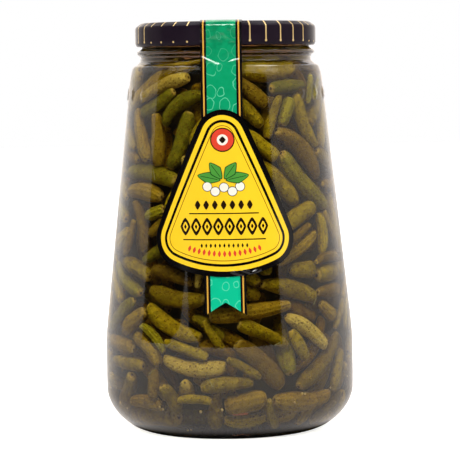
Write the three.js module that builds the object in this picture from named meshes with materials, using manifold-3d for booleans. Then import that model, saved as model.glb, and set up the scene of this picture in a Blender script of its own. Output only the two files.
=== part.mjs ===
// A three litre glass jar of pickled gherkins with a twist-off cap, a paper label and a seal band.
// Millimetres, +Z up. The origin is on the floor under the middle of the jar, and the front faces -Y.
import * as THREE from "three";
import { mergeVertices } from "three/addons/utils/BufferGeometryUtils.js";
import Module from "manifold-3d";

const wasm = await Module();
wasm.setup();

// Round pieces have this many flat sides, and touching pieces keep this clearance.
const ROUND_SIDES = 48;
const GAP = 0.3;
const HAIR = 0.005;

// Jar body: a cone on a short upright wall, over a heel that turns in to the resting ring.
const WALL = 3.2;
const BELLY_RADIUS = 77.75;
const BELLY_TOP = 56;
const CONE_FOOT_RADIUS = 77.1;
const CONE_FOOT = 66;
const CONE_TOP_RADIUS = 61.7;
const CONE_TOP = 206.7;
const HEEL_RADIUS = 77.6;
const HEEL_REACH = 27.2;
const HEEL_RISE = 25.7;
const HEEL_POWER = 1.73;
const RING_INNER_RADIUS = 46;
const PUSH_UP = 5;
const FLOOR_EDGE = 8;
const FLOOR_MIDDLE = 11;
const INNER_HEEL_REACH = 25;
const INNER_HEEL_RISE = 22;

// Raised lozenges on the shoulder, all the way round but for the front.
const LOZENGE_WIDTH = 6.4;
const LOZENGE_HEIGHT = 10;
const LOZENGE_RELIEF = 0.6;
const LOZENGE_MIDDLE = 211;
const LOZENGE_FIRST = 48.75;
const LOZENGE_STEP = 15;
const LOZENGE_COUNT = 18;

// Neck and mouth
const NECK_RADIUS = 53.3;
const BEAD_RADIUS = 55.6;
const BEAD_LEVEL = 236.7;
const FINISH_RADIUS = 51.9;
const MOUTH_RADIUS = 48.5;
const MOUTH_TOP = 254.1;

// Twist-off cap
const CAP_RADIUS = 56.5;
const CAP_TOP = 255.3;
const CAP_BOTTOM = 240.5;
const CAP_SHEET = 0.8;
const CAP_RIM_RADIUS = 52.8;
const CAP_PANEL_RADIUS = 41;
const CAP_PANEL_SINK = 0.9;
const BUTTON_RADIUS = 12;
const BUTTON_RISE = 0.5;
const CURL_RADIUS = 53.2;
const LUG_COUNT = 6;
const LUG_LENGTH = 13;
const LUG_DEPTH = 1.6;
const LUG_HEIGHT = 2;

// The band and the label share a centre line, a little left of the front and leaning a little.
const LINE_AZIMUTH = -2.0;
const LINE_LEVEL = 150;
const LINE_LEAN = -0.0085;

const BAND_WIDTH = 25.2;
const BAND_THICK = 0.2;
const BAND_END = 78.5;
const BAND_START_RADIUS = 18;
const TAIL_NOTCH = 7.7;
const BAND_COLUMNS = 6;

// Label: a triangle whose top, two lower corners and lower edge are arcs.
const LABEL_BORDER = 3.3;
const LABEL_TOP_ROUND = 13;
const LABEL_TOP_LEVEL = 185.3;
const LABEL_CORNER_ROUND = 14;
const LABEL_CORNER_OUT = 26.2;
const LABEL_CORNER_LEVEL = 124.2;
const LABEL_FOOT_ROUND = 79.2;
const LABEL_FOOT_LEVEL = 104.7;
const LABEL_LIFT = 0.8;
const LABEL_THICK = 0.3;
const LABEL_COLUMNS = 12;

// Gherkins: those of the front where they lie, each as
// [azimuth, height, lean, length, thickness, bend, depth behind the wall], in degrees and mm.
const FRONT_GHERKINS = [
  [-47, 211, 21, 41, 9.5, 2, 0],
  [-28, 203, 26, 34, 10.5, 5, 0],
  [-61, 186, -68, 37, 11, -2, 0],
  [-44, 185, -84, 34, 10.5, 1, 0],
  [-29, 182, 71, 38, 11, -2, 0],
  [-50, 165, 1, 46, 12, 2, 0],
  [-56, 151, -12, 34, 12, 2, 0],
  [-46, 137, 30, 16, 9, 0, 0],
  [-53, 131, -66, 34, 10, 3, 0],
  [-57, 105, -6, 30, 11, 1, 0],
  [-33, 101, -14, 30, 11, 2, 0],
  [-29, 88, -1, 38, 12, -3, 0],
  [-28, 72, -31, 42, 11.5, -4, 0],
  [-54, 70, 33, 26, 12, 1, 0],
  [-11, 69, -20, 24, 8, 1, 4],
  [-5, 57, -19, 24, 9.5, 1, 3],
  [-18, 48, -9, 40, 12, -4, 0],
  [-44, 54, -43, 27, 10.5, 2, 0],
  [-39, 37, -86, 19, 8.5, 0, 0],
  [-31, 27, -58, 21, 10, 1, 0],
  [-34, 61, -28, 30, 9, -2, 5],
  [-4, 22, -86, 22, 10, 0, 2],
  [-24, 15, -1, 43, 11.5, 2, 0],
  [0, 36, 3, 32, 10.5, 1, 0],
  [-66, 56, -8, 34, 11, 0, 0],
  [15, 213, -37, 34, 11, 1, 0],
  [27, 196, 89, 32, 9, 1, 2],
  [12, 200, -30, 30, 10, 1, 0],
  [21, 177, -48, 26, 10, 0, 0],
  [44, 209, 3, 28, 9.5, 0, 0],
  [43, 198, 38, 19, 10, 0, 0],
  [50, 178, -52, 46, 13.5, 5, 0],
  [68, 200, 24, 33, 11.5, 0, 0],
  [51, 156, -45, 52, 13.5, -3, 0],
  [32, 157, -45, 36, 13, 1, 0],
  [45, 137, 10, 28, 11.5, 2, 0],
  [60, 124, -84, 26, 9.5, 3, 0],
  [41, 112, 35, 37, 9, -1, 0],
  [40, 100, 20, 20, 12, 0, 0],
  [70, 99, -2, 44, 12, 0, 0],
  [11, 80, 8, 51, 12, -1, 0],
  [10, 92, -24, 20, 9.5, 0, 3],
  [33, 90, -19, 40, 12, 2, 0],
  [61, 88, -4, 27, 10, 0, 0],
  [57, 76, -88, 17, 10, 0, 0],
  [41, 76, -9, 22, 11, 0, 2],
  [20, 64, -36, 34, 9.5, 1, 0],
  [35, 60, -88, 22, 9, 0, 0],
  [46, 59, 41, 40, 9.5, -5, 3],
  [51, 48, 38, 48, 12.5, -4, 0],
  [14, 46, -39, 40, 13, 2, 0],
  [22, 51, -42, 37, 10.5, 1, 4],
  [62, 37, 50, 28, 9.5, 0, 0],
  [39, 28, -2, 43, 12, -2, 0],
  [8, 26, 14, 26, 12.5, 0, 0],
  [24, 15, 20, 30, 9.5, -2, 0],
];

// The rest is drawn at random, longest first, and then settled until nothing overlaps.
const SEED = 20611;
const FILL_COUNT = 300;
const LONGEST = 50;
const SHORTEST = 20;
const SLIM_SHARE = [0.24, 0.34];
const MOST_BEND = 5;
const CANDIDATES = 10;
const SECOND_LAYER_DEPTH = 11;
const SECOND_LAYER_SHARE = 0.4;
const LAYER_LIMIT = 22;
const SETTLE_ROUNDS = 90;
const SETTLE_PUSH = 0.3;
const OUTWARD_PULL = 0.25;
const FRONT_GIVE = 0.15;
const BALLS = 5;
const WALL_CLEARANCE = 0.5;
const HEAP_TOP = 236;
const HEAP_FLOOR = 11;
const CORE_DEPTH = 8.5;
const CORE_LUMP = 0.012;
const CORE_LUMPS = 7;
const SHOWN_GHERKINS = 128;
const GHERKIN_SIDES = 6;
const GHERKIN_RINGS = 4;

const degrees = Math.PI / 180;

// Radius of the cone at a height
function coneRadius(level) {
  const slope = (CONE_TOP_RADIUS - CONE_FOOT_RADIUS) / (CONE_TOP - CONE_FOOT);
  return CONE_FOOT_RADIUS + slope * (level - CONE_FOOT);
}

function lineAzimuth(level) {
  return (LINE_AZIMUTH + LINE_LEAN * (level - LINE_LEVEL)) * degrees;
}

// Turns a half outline of [radius, height] points about the upright axis.
function turned(outline) {
  const points = outline.map(([radius, height]) => new THREE.Vector2(radius, height));
  return new THREE.LatheGeometry(points, ROUND_SIDES).rotateX(Math.PI / 2);
}

function solidOf(geometry) {
  const bare = geometry.index ? geometry.toNonIndexed() : geometry.clone();
  bare.deleteAttribute("normal");
  bare.deleteAttribute("uv");
  const merged = mergeVertices(bare, 1e-4);
  return new wasm.Manifold(
    new wasm.Mesh({
      numProp: 3,
      vertProperties: merged.attributes.position.array,
      triVerts: new Uint32Array(merged.index.array),
    }),
  );
}

function geometryOf(solid) {
  const mesh = solid.getMesh();
  const geometry = new THREE.BufferGeometry();
  geometry.setAttribute("position", new THREE.BufferAttribute(mesh.vertProperties, mesh.numProp));
  geometry.setIndex(new THREE.BufferAttribute(mesh.triVerts, 1));
  spreadTwins(geometry);
  geometry.computeVertexNormals();
  return geometry;
}

// Joining can leave two vertices in one place, which would pinch the surface if they were merged.
// The second is moved a hair towards the middle of its own triangles.
function spreadTwins(geometry) {
  const place = geometry.attributes.position;
  const index = geometry.index.array;
  const pointAt = (i) => new THREE.Vector3().fromBufferAttribute(place, i);
  const seen = new Set();
  for (let i = 0; i < place.count; i++) {
    const key = pointAt(i).toArray().join();
    if (seen.has(key)) {
      const own = [];
      index.forEach((vertex, k) => vertex === i && own.push(k - (k % 3)));
      const middle = new THREE.Vector3();
      own.forEach((k) => [0, 1, 2].forEach((c) => middle.add(pointAt(index[k + c]))));
      middle.divideScalar(3 * own.length).sub(pointAt(i)).setLength(HAIR).add(pointAt(i));
      place.setXYZ(i, middle.x, middle.y, middle.z);
    }
    seen.add(key);
  }
}

// Joins solids and keeps the largest shell, so that sealed hollows are filled and scraps dropped.
function fused(solids) {
  const shells = wasm.Manifold.union(solids).decompose();
  return shells.reduce((a, b) => (b.volume() > a.volume() ? b : a));
}

// A quarter of a superellipse, from the floor out and up to the wall, as [radius, height] points.
function heel(wallRadius, reach, rise, foot, steps) {
  return Array.from({ length: steps + 1 }, (_, i) => {
    const turn = (i / steps) * (Math.PI / 2);
    const out = Math.sin(turn) ** (2 / HEEL_POWER);
    const up = 1 - Math.cos(turn) ** (2 / HEEL_POWER);
    return [wallRadius - reach + reach * out, foot + rise * up];
  });
}

// Outline of the inside, from the floor's edge up to the mouth
function insideOutline() {
  return [
    ...heel(BELLY_RADIUS - WALL, INNER_HEEL_REACH, INNER_HEEL_RISE, FLOOR_EDGE, 4),
    [BELLY_RADIUS - WALL, BELLY_TOP],
    [CONE_FOOT_RADIUS - WALL, CONE_FOOT],
    [CONE_TOP_RADIUS - WALL, CONE_TOP],
    [56.4, 223],
    [53.2, 227],
    [NECK_RADIUS - 3.7, 231.6],
    [MOUTH_RADIUS, 240],
    [MOUTH_RADIUS, MOUTH_TOP - 1.2],
  ];
}

function glassOutline() {
  return [
    [0, PUSH_UP],
    [RING_INNER_RADIUS - 6, PUSH_UP - 1.4],
    [RING_INNER_RADIUS, 0],
    ...heel(HEEL_RADIUS, HEEL_REACH, HEEL_RISE, 0, 6),
    [BELLY_RADIUS, 32],
    [BELLY_RADIUS, BELLY_TOP],
    [CONE_FOOT_RADIUS, CONE_FOOT],
    [CONE_TOP_RADIUS, CONE_TOP],
    [60, 222],
    [58.3, 228],
    [55.8, 229.2],
    [NECK_RADIUS + 0.4, 231.4],
    [NECK_RADIUS, BEAD_LEVEL - 2.4],
    [BEAD_RADIUS, BEAD_LEVEL - 0.9],
    [BEAD_RADIUS, BEAD_LEVEL + 0.7],
    [FINISH_RADIUS + 0.4, BEAD_LEVEL + 2.6],
    [FINISH_RADIUS, MOUTH_TOP - 1.7],
    [FINISH_RADIUS - 1.5, MOUTH_TOP],
    [MOUTH_RADIUS + 0.6, MOUTH_TOP],
    ...insideOutline().reverse(),
    [0, FLOOR_MIDDLE],
  ];
}

// One raised lozenge on the cone, facing outwards at the given azimuth
function lozenge(azimuth) {
  const shape = new THREE.Shape([
    new THREE.Vector2(LOZENGE_WIDTH / 2, 0),
    new THREE.Vector2(0, LOZENGE_HEIGHT / 2),
    new THREE.Vector2(-LOZENGE_WIDTH / 2, 0),
    new THREE.Vector2(0, -LOZENGE_HEIGHT / 2),
  ]);
  const root = 1;
  const plate = new THREE.ExtrudeGeometry(shape, { depth: root + LOZENGE_RELIEF, bevelEnabled: false });
  const flat = coneRadius(LOZENGE_MIDDLE) * Math.cos(Math.PI / ROUND_SIDES);
  const lean = Math.atan2(CONE_FOOT_RADIUS - CONE_TOP_RADIUS, CONE_TOP - CONE_FOOT);
  plate.translate(0, 0, -root);
  plate.rotateX(Math.PI / 2 - lean);
  plate.translate(0, -flat, LOZENGE_MIDDLE);
  return plate.rotateZ(azimuth);
}

function jarGlass() {
  const lozenges = Array.from({ length: LOZENGE_COUNT }, (_, i) =>
    solidOf(lozenge((LOZENGE_FIRST + i * LOZENGE_STEP) * degrees)),
  );
  return geometryOf(fused([solidOf(turned(glassOutline())), ...lozenges]));
}

// Cap: a pressed sheet with a sunk panel, a button in its middle, a bevelled rim and a curled foot
function capOutline() {
  const panel = CAP_TOP - CAP_PANEL_SINK;
  return [
    [0, panel - CAP_SHEET + BUTTON_RISE],
    [BUTTON_RADIUS - 1, panel - CAP_SHEET + BUTTON_RISE],
    [BUTTON_RADIUS + 1, panel - CAP_SHEET],
    [CAP_PANEL_RADIUS, panel - CAP_SHEET],
    [CAP_PANEL_RADIUS + 2.4, CAP_TOP - CAP_SHEET],
    [CAP_RIM_RADIUS - 1, CAP_TOP - CAP_SHEET],
    [CAP_RADIUS - CAP_SHEET, CAP_TOP - 3.9],
    [CAP_RADIUS - CAP_SHEET, CAP_BOTTOM + 2.8],
    [CURL_RADIUS + 0.3, CAP_BOTTOM + 2],
    [CURL_RADIUS + 0.4, CAP_BOTTOM],
    [CAP_RADIUS - 1, CAP_BOTTOM],
    [CAP_RADIUS, CAP_BOTTOM + 2],
    [CAP_RADIUS, CAP_TOP - 3.8],
    [CAP_RADIUS - 0.5, CAP_TOP - 2.5],
    [CAP_RIM_RADIUS, CAP_TOP - 0.2],
    [CAP_RIM_RADIUS - 1.4, CAP_TOP],
    [CAP_PANEL_RADIUS + 2, CAP_TOP],
    [CAP_PANEL_RADIUS - 0.4, panel],
    [BUTTON_RADIUS + 1, panel],
    [BUTTON_RADIUS - 1, panel + BUTTON_RISE],
    [0, panel + BUTTON_RISE],
  ];
}

function cap() {
  const lugs = Array.from({ length: LUG_COUNT }, (_, i) => {
    const lug = new THREE.BoxGeometry(LUG_LENGTH, LUG_DEPTH, LUG_HEIGHT);
    lug.translate(0, -CURL_RADIUS, CAP_BOTTOM + 1.3);
    return solidOf(lug.rotateZ((i * 2 * Math.PI) / LUG_COUNT));
  });
  return geometryOf(fused([solidOf(turned(capOutline())), ...lugs]));
}

// Closes two matching grids of points, under and over, into one thin sheet. Rows run along it.
function sheet(under, over) {
  const rows = under.length;
  const columns = under[0].length;
  const positions = [...under.flat(), ...over.flat()].flatMap((p) => [p.x, p.y, p.z]);
  const at = (layer, row, column) => layer * rows * columns + row * columns + column;
  const index = [];
  const quad = (a, b, c, d) => index.push(a, b, c, a, c, d);
  for (let i = 0; i + 1 < rows; i++) {
    for (let j = 0; j + 1 < columns; j++) {
      quad(at(1, i, j), at(1, i + 1, j), at(1, i + 1, j + 1), at(1, i, j + 1));
      quad(at(0, i, j), at(0, i, j + 1), at(0, i + 1, j + 1), at(0, i + 1, j));
    }
    const last = columns - 1;
    quad(at(0, i, 0), at(0, i + 1, 0), at(1, i + 1, 0), at(1, i, 0));
    quad(at(0, i, last), at(1, i, last), at(1, i + 1, last), at(0, i + 1, last));
  }
  for (let j = 0; j + 1 < columns; j++) {
    const last = rows - 1;
    quad(at(0, 0, j), at(1, 0, j), at(1, 0, j + 1), at(0, 0, j + 1));
    quad(at(0, last, j), at(0, last, j + 1), at(1, last, j + 1), at(1, last, j));
  }
  const geometry = new THREE.BufferGeometry();
  geometry.setAttribute("position", new THREE.Float32BufferAttribute(positions, 3));
  geometry.setIndex(index);
  geometry.computeVertexNormals();
  return geometry;
}

// A point beside the centre line: wrapped round the jar at a radius, then slid inwards over the cap
function wrapped(side, radius, level, slide = 0) {
  const middle = lineAzimuth(level);
  const turn = middle + side / radius;
  return new THREE.Vector3(
    radius * Math.sin(turn) - slide * Math.sin(middle),
    -radius * Math.cos(turn) + slide * Math.cos(middle),
    level,
  );
}

// The band's way: over the cap, down its side, across the neck and down the cone, as
// [wrap radius, height, slide over the cap] with the sheet's outward direction in the same terms.
function bandWay() {
  const cone = (level) => [coneRadius(level) + GAP, level, 0, 1, 0.11];
  return [
    [CAP_RIM_RADIUS, CAP_TOP + GAP, CAP_RIM_RADIUS - BAND_START_RADIUS - TAIL_NOTCH - 1, 0, 1],
    [CAP_RIM_RADIUS, CAP_TOP + GAP, CAP_RIM_RADIUS - 40, 0, 1],
    [CAP_RIM_RADIUS, CAP_TOP + GAP, 1.2, 0, 1],
    [CAP_RIM_RADIUS + 0.3, CAP_TOP + GAP - 0.1, 0, 0.4, 0.9],
    [CAP_RADIUS - 0.1, CAP_TOP - 2.1, 0, 0.8, 0.6],
    [CAP_RADIUS + GAP, CAP_TOP - 3.6, 0, 1, 0.1],
    [CAP_RADIUS + GAP, CAP_BOTTOM + 0.8, 0, 1, 0],
    [59.3, 229.4, 0, 1, 0.2],
    [59.9, 226.4, 0, 1, 0.15],
    [60 + GAP + 0.1, 222, 0, 1, 0.1],
    ...[CONE_TOP, 180, 150, 120, BAND_END + TAIL_NOTCH + 1].map(cone),
  ];
}

function sealBand() {
  const sides = Array.from({ length: BAND_COLUMNS + 1 }, (_, j) => (j / BAND_COLUMNS - 0.5) * BAND_WIDTH);
  const notchAt = (side) => TAIL_NOTCH * (1 - Math.abs(side) / (BAND_WIDTH / 2));
  const layer = (raise) => {
    const rows = bandWay().map(([radius, level, slide, out, up]) =>
      sides.map((side) => wrapped(side, radius + raise * out, level + raise * up, slide)),
    );
    const start = sides.map((side) => {
      const slide = CAP_RIM_RADIUS - BAND_START_RADIUS - notchAt(side);
      return wrapped(side, CAP_RIM_RADIUS, CAP_TOP + GAP + raise, slide);
    });
    const end = sides.map((side) => {
      const level = BAND_END + notchAt(side);
      return wrapped(side, coneRadius(level) + GAP + raise, level);
    });
    return [start, ...rows, end];
  };
  return sheet(layer(0), layer(BAND_THICK));
}

// Points on an arc, as [beside, height]
function arc(middle, level, radius, from, to, steps) {
  return Array.from({ length: steps + 1 }, (_, i) => {
    const turn = from + ((to - from) * i) / steps;
    return [middle + radius * Math.cos(turn), level + radius * Math.sin(turn)];
  });
}

// Right-hand edge of the label from its top to its foot, as [beside the centre line, height]
function labelEdge() {
  const top = LABEL_TOP_ROUND + LABEL_BORDER;
  const corner = LABEL_CORNER_ROUND + LABEL_BORDER;
  const foot = LABEL_FOOT_ROUND + LABEL_BORDER;
  const drop = LABEL_TOP_LEVEL - LABEL_CORNER_LEVEL;
  const lean = Math.atan2(LABEL_CORNER_OUT, drop) +
    Math.asin((corner - top) / Math.hypot(LABEL_CORNER_OUT, drop));
  const footMiddle = LABEL_FOOT_LEVEL + LABEL_FOOT_ROUND;
  const footTurn = Math.atan2(LABEL_CORNER_OUT, footMiddle - LABEL_CORNER_LEVEL) - Math.PI / 2;
  const above = arc(0, LABEL_TOP_LEVEL, top, 0.47 * Math.PI, lean, 5);
  const below = arc(LABEL_CORNER_OUT, LABEL_CORNER_LEVEL, corner, lean, footTurn, 7);
  const [x0, z0] = above[above.length - 1];
  const [x1, z1] = below[0];
  const between = [0.25, 0.5, 0.75].map((share) => [x0 + share * (x1 - x0), z0 + share * (z1 - z0)]);
  return [...above, ...between, ...below, ...arc(0, footMiddle, foot, footTurn, -0.49 * Math.PI, 4).slice(1)];
}

// The label is a sheet on the cone, in rows from its top to its foot.
function label() {
  const layer = (lift) =>
    labelEdge().map(([reach, level]) =>
      Array.from({ length: LABEL_COLUMNS + 1 }, (_, j) => {
        const turn = lineAzimuth(level) + ((2 * j / LABEL_COLUMNS - 1) * reach) / coneRadius(level);
        const radius = coneRadius(level) + lift;
        return new THREE.Vector3(radius * Math.sin(turn), -radius * Math.cos(turn), level);
      }),
    );
  return sheet(layer(LABEL_LIFT), layer(LABEL_LIFT + LABEL_THICK));
}

// Inside radius of the jar at a height, read off the inside outline
function insideRadius(level) {
  const outline = insideOutline();
  if (level <= outline[0][1]) return outline[0][0];
  for (let i = 0; i + 1 < outline.length; i++) {
    const [r0, z0] = outline[i];
    const [r1, z1] = outline[i + 1];
    if (level <= z1) return r0 + ((r1 - r0) * (level - z0)) / (z1 - z0);
  }
  return MOUTH_RADIUS;
}

// Farthest from the axis that a ball's centre may be
function ballLimit(level, radius) {
  const slant = 0.7 * radius;
  return Math.min(
    insideRadius(level) - radius,
    insideRadius(level - slant) - slant,
    insideRadius(level + slant) - slant,
  ) - WALL_CLEARANCE;
}

// A repeatable draw between two values
let drawState = SEED;
function draw(low, high) {
  drawState = (drawState * 48271) % 2147483647;
  return low + ((high - low) * drawState) / 2147483647;
}

// A gherkin is a bent rod between two end balls, against the wall or some way behind it.
function gherkinAt(azimuth, level, lean, length, thick, bend, depth, give) {
  const radius = thick / 2;
  const reach = ballLimit(level, radius) - depth;
  const middle = new THREE.Vector3(reach * Math.sin(azimuth), -reach * Math.cos(azimuth), level);
  const along = new THREE.Vector3(Math.cos(azimuth) * Math.cos(lean), Math.sin(azimuth) * Math.cos(lean), Math.sin(lean));
  const bendWay = new THREE.Vector3(-Math.cos(azimuth) * Math.sin(lean), -Math.sin(azimuth) * Math.sin(lean), Math.cos(lean));
  const half = (length - thick) / 2;
  return {
    a: middle.clone().addScaledVector(along, -half),
    b: middle.clone().addScaledVector(along, half),
    bendWay,
    bend,
    radius,
    half,
    give,
    depth,
  };
}

const ballBulge = Array.from({ length: BALLS }, (_, k) => 1 - (2 * k / (BALLS - 1) - 1) ** 2);

function ballsOf(g) {
  return ballBulge.map((bulge, k) =>
    g.a.clone().lerp(g.b, k / (BALLS - 1)).addScaledVector(g.bendWay, g.bend * (bulge - 0.5)),
  );
}

function clearance(g, others) {
  const mine = ballsOf(g);
  let least = Infinity;
  for (const other of others) {
    for (const p of mine) {
      for (const q of other.balls) {
        least = Math.min(least, p.distanceTo(q) - g.radius - other.radius);
      }
    }
  }
  return least;
}

function layGherkins() {
  const laid = FRONT_GHERKINS.map(([azimuth, level, lean, length, thick, bend, depth]) =>
    gherkinAt(azimuth * degrees, level, lean * degrees, length, thick, bend, depth, FRONT_GIVE),
  );
  laid.forEach((g) => (g.balls = ballsOf(g)));
  const lengths = Array.from({ length: FILL_COUNT }, () => draw(SHORTEST, LONGEST)).sort((a, b) => b - a);
  for (const length of lengths) {
    const thick = Math.min(length * draw(...SLIM_SHARE), 13);
    const bend = draw(-MOST_BEND, MOST_BEND) * length / LONGEST;
    const depth = draw(0, 1) < SECOND_LAYER_SHARE ? SECOND_LAYER_DEPTH : 0;
    let best = null;
    let bestClearance = -Infinity;
    for (let k = 0; k < CANDIDATES; k++) {
      const azimuth = draw(-Math.PI, Math.PI);
      const level = draw(HEAP_FLOOR + thick / 2, HEAP_TOP - thick / 2);
      const lean = draw(-Math.PI / 2, Math.PI / 2);
      const g = gherkinAt(azimuth, level, lean, length, thick, bend, depth, 1);
      const free = clearance(g, laid);
      if (free > bestClearance) {
        best = g;
        bestClearance = free;
      }
    }
    best.balls = ballsOf(best);
    laid.push(best);
  }
  for (let round = 0; round < SETTLE_ROUNDS; round++) settle(laid, 1 - round / SETTLE_ROUNDS);
  laid.forEach(tuckIn);
  return laid;
}

// One round of settling: balls that overlap push each other's rods apart, and the wall holds them in.
function settle(laid, pull) {
  for (const g of laid) {
    g.balls = ballsOf(g);
    g.moveA = new THREE.Vector3();
    g.moveB = new THREE.Vector3();
    g.middle = g.a.clone().lerp(g.b, 0.5);
  }
  const push = (g, k, way, by) => {
    const share = k / (BALLS - 1);
    g.moveA.addScaledVector(way, by * (1 - share));
    g.moveB.addScaledVector(way, by * share);
  };
  laid.forEach((g, i) => {
    for (const other of laid.slice(i + 1)) {
      const near = g.half + other.half + g.radius + other.radius + 2 * MOST_BEND;
      if (g.middle.distanceToSquared(other.middle) > near * near) continue;
      g.balls.forEach((p, k) =>
        other.balls.forEach((q, m) => {
          const apart = p.distanceTo(q);
          const overlap = g.radius + other.radius - apart;
          if (overlap <= 0 || apart === 0) return;
          const way = p.clone().sub(q).divideScalar(apart);
          const give = g.give + other.give;
          push(g, k, way, (SETTLE_PUSH * overlap * g.give) / give);
          push(other, m, way, (-SETTLE_PUSH * overlap * other.give) / give);
        }),
      );
    }
  });
  for (const g of laid) {
    g.balls.forEach((p, k) => {
      const out = Math.hypot(p.x, p.y);
      const limit = ballLimit(p.z, g.radius);
      const way = new THREE.Vector3(p.x / out, p.y / out, 0);
      if (out > limit) push(g, k, way, (limit - out) * 0.5);
      else if (out < limit - LAYER_LIMIT) push(g, k, way, (limit - LAYER_LIMIT - out) * 0.5);
      else if (g.depth === 0) push(g, k, way, OUTWARD_PULL * pull * g.give);
      const low = HEAP_FLOOR + g.radius - p.z;
      const high = p.z - (HEAP_TOP - g.radius);
      const up = new THREE.Vector3(0, 0, 1);
      if (low > 0) push(g, k, up, low * 0.5);
      if (high > 0) push(g, k, up, -high * 0.5);
    });
    place(g, g.a.add(g.moveA), g.b.add(g.moveB));
  }
}

// Keeps a rod's length and its bend square to it
function place(g, a, b) {
  const middle = a.clone().lerp(b, 0.5);
  const along = b.clone().sub(a).normalize();
  g.a = middle.clone().addScaledVector(along, -g.half);
  g.b = middle.clone().addScaledVector(along, g.half);
  g.bendWay.addScaledVector(along, -g.bendWay.dot(along)).normalize();
}

// Moves a gherkin in until none of its balls is past the wall
function tuckIn(g) {
  const middle = g.a.clone().lerp(g.b, 0.5);
  const out = Math.hypot(middle.x, middle.y);
  const past = Math.max(
    0,
    ...ballsOf(g).map((p) => Math.hypot(p.x, p.y) - ballLimit(p.z, g.radius)),
  );
  const inwards = new THREE.Vector3((-past * middle.x) / out, (-past * middle.y) / out, 0);
  g.a.add(inwards);
  g.b.add(inwards);
  g.balls = ballsOf(g);
}

// A few-sided gherkin: a ball drawn out to blunt ends along its bent rod
function gherkinSolid(g) {
  const shape = new THREE.SphereGeometry(1, GHERKIN_SIDES, GHERKIN_RINGS);
  const along = g.b.clone().sub(g.a).normalize();
  const across = new THREE.Vector3().crossVectors(along, g.bendWay);
  const middle = g.a.clone().lerp(g.b, 0.5);
  const length = g.half + g.radius;
  const place = shape.attributes.position;
  for (let i = 0; i < place.count; i++) {
    const end = place.getY(i);
    const share = Math.sign(end) * Math.abs(end) ** 0.72;
    const around = Math.sqrt(Math.max(1 - end * end, 0));
    const girth = around > 1e-6 ? (g.radius * around ** 0.45) / around : 0;
    const bent = g.bend * (0.5 - share * share);
    const point = middle.clone()
      .addScaledVector(along, share * length)
      .addScaledVector(g.bendWay, place.getX(i) * girth + bent)
      .addScaledVector(across, place.getZ(i) * girth);
    place.setXYZ(i, point.x, point.y, point.z);
  }
  return solidOf(shape);
}

// The middle of the heap, a lumpy form some way inside the wall
function heapCore() {
  const levels = [14, 22, 32, 56, 94, 132, 170, CONE_TOP, 222, 230];
  const core = turned([
    [0, HEAP_FLOOR + 1],
    ...levels.map((level) => [insideRadius(level) - CORE_DEPTH, level]),
    [0, 230],
  ]);
  const place = core.attributes.position;
  for (let i = 0; i < place.count; i++) {
    const turn = Math.atan2(place.getY(i), place.getX(i));
    const lump = 1 + CORE_LUMP * Math.sin(CORE_LUMPS * turn + place.getZ(i));
    place.setXY(i, place.getX(i) * lump, place.getY(i) * lump);
  }
  return core;
}

function gherkinHeap() {
  const laid = layGherkins();
  const depthOf = (g) => {
    const middle = g.balls[(BALLS - 1) / 2];
    return ballLimit(middle.z, g.radius) - Math.hypot(middle.x, middle.y);
  };
  const shown = laid.sort((g, h) => depthOf(g) - depthOf(h)).slice(0, SHOWN_GHERKINS);
  return geometryOf(fused([solidOf(heapCore()), ...shown.map(gherkinSolid)]));
}

const finishes = {
  glass: new THREE.MeshStandardMaterial({
    color: 0xdfe8df,
    roughness: 0.04,
    metalness: 0,
    transparent: true,
    opacity: 0.3,
  }),
  lacquer: new THREE.MeshStandardMaterial({ color: 0x0e0d0f, roughness: 0.25, metalness: 0.1 }),
  film: new THREE.MeshStandardMaterial({ color: 0x12a878, roughness: 0.3, metalness: 0 }),
  paper: new THREE.MeshStandardMaterial({ color: 0xffd22e, roughness: 0.35, metalness: 0 }),
  gherkin: new THREE.MeshStandardMaterial({ color: 0x6b6420, roughness: 0.5, metalness: 0 }),
};

const jar = new THREE.Group();
jar.name = "pickle_jar";
const pieces = [
  ["jar_glass", jarGlass(), finishes.glass],
  ["cap", cap(), finishes.lacquer],
  ["seal_band", sealBand(), finishes.film],
  ["label", label(), finishes.paper],
  ["gherkins", gherkinHeap(), finishes.gherkin],
];
for (const [name, geometry, finish] of pieces) {
  const mesh = new THREE.Mesh(geometry, finish);
  mesh.name = name;
  jar.add(mesh);
}

export default jar;
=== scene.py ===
# A three litre jar of pickled gherkins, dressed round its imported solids. Sizes are in millimetres
# until a finished mesh is scaled to metres. The front faces -Y, as the solids do.
import math
from functools import partial

import bmesh
import bpy
import numpy as np
from mathutils import Matrix, Vector


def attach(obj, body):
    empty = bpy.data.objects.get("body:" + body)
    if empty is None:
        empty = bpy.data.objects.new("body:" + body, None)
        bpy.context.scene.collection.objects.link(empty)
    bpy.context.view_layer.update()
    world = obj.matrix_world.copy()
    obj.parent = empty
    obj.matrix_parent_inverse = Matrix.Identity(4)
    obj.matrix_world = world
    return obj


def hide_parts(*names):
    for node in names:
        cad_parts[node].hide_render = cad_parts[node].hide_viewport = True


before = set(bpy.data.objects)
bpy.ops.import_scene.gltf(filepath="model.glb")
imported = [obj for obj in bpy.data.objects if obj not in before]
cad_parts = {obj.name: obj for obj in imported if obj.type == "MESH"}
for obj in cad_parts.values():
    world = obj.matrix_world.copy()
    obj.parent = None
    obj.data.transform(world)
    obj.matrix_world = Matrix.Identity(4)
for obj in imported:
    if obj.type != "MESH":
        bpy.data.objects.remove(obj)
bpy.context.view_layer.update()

MM = 0.001
SMOOTH_SIDES = 240
SHARP_ANGLE = math.radians(48)

# The photograph's view: 1.5 m away, a little above the lid's height, leaning a hair
IMAGE_SIDE = 460
CAMERA_DISTANCE = 1500
CAMERA_SIDE = 1.26
CAMERA_HEIGHT = 222.5
CAMERA_PITCH = 0.065
CAMERA_ROLL = 0.0138
CAMERA_FOCAL_PIXELS = 2385
SENSOR_WIDTH = 36

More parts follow.
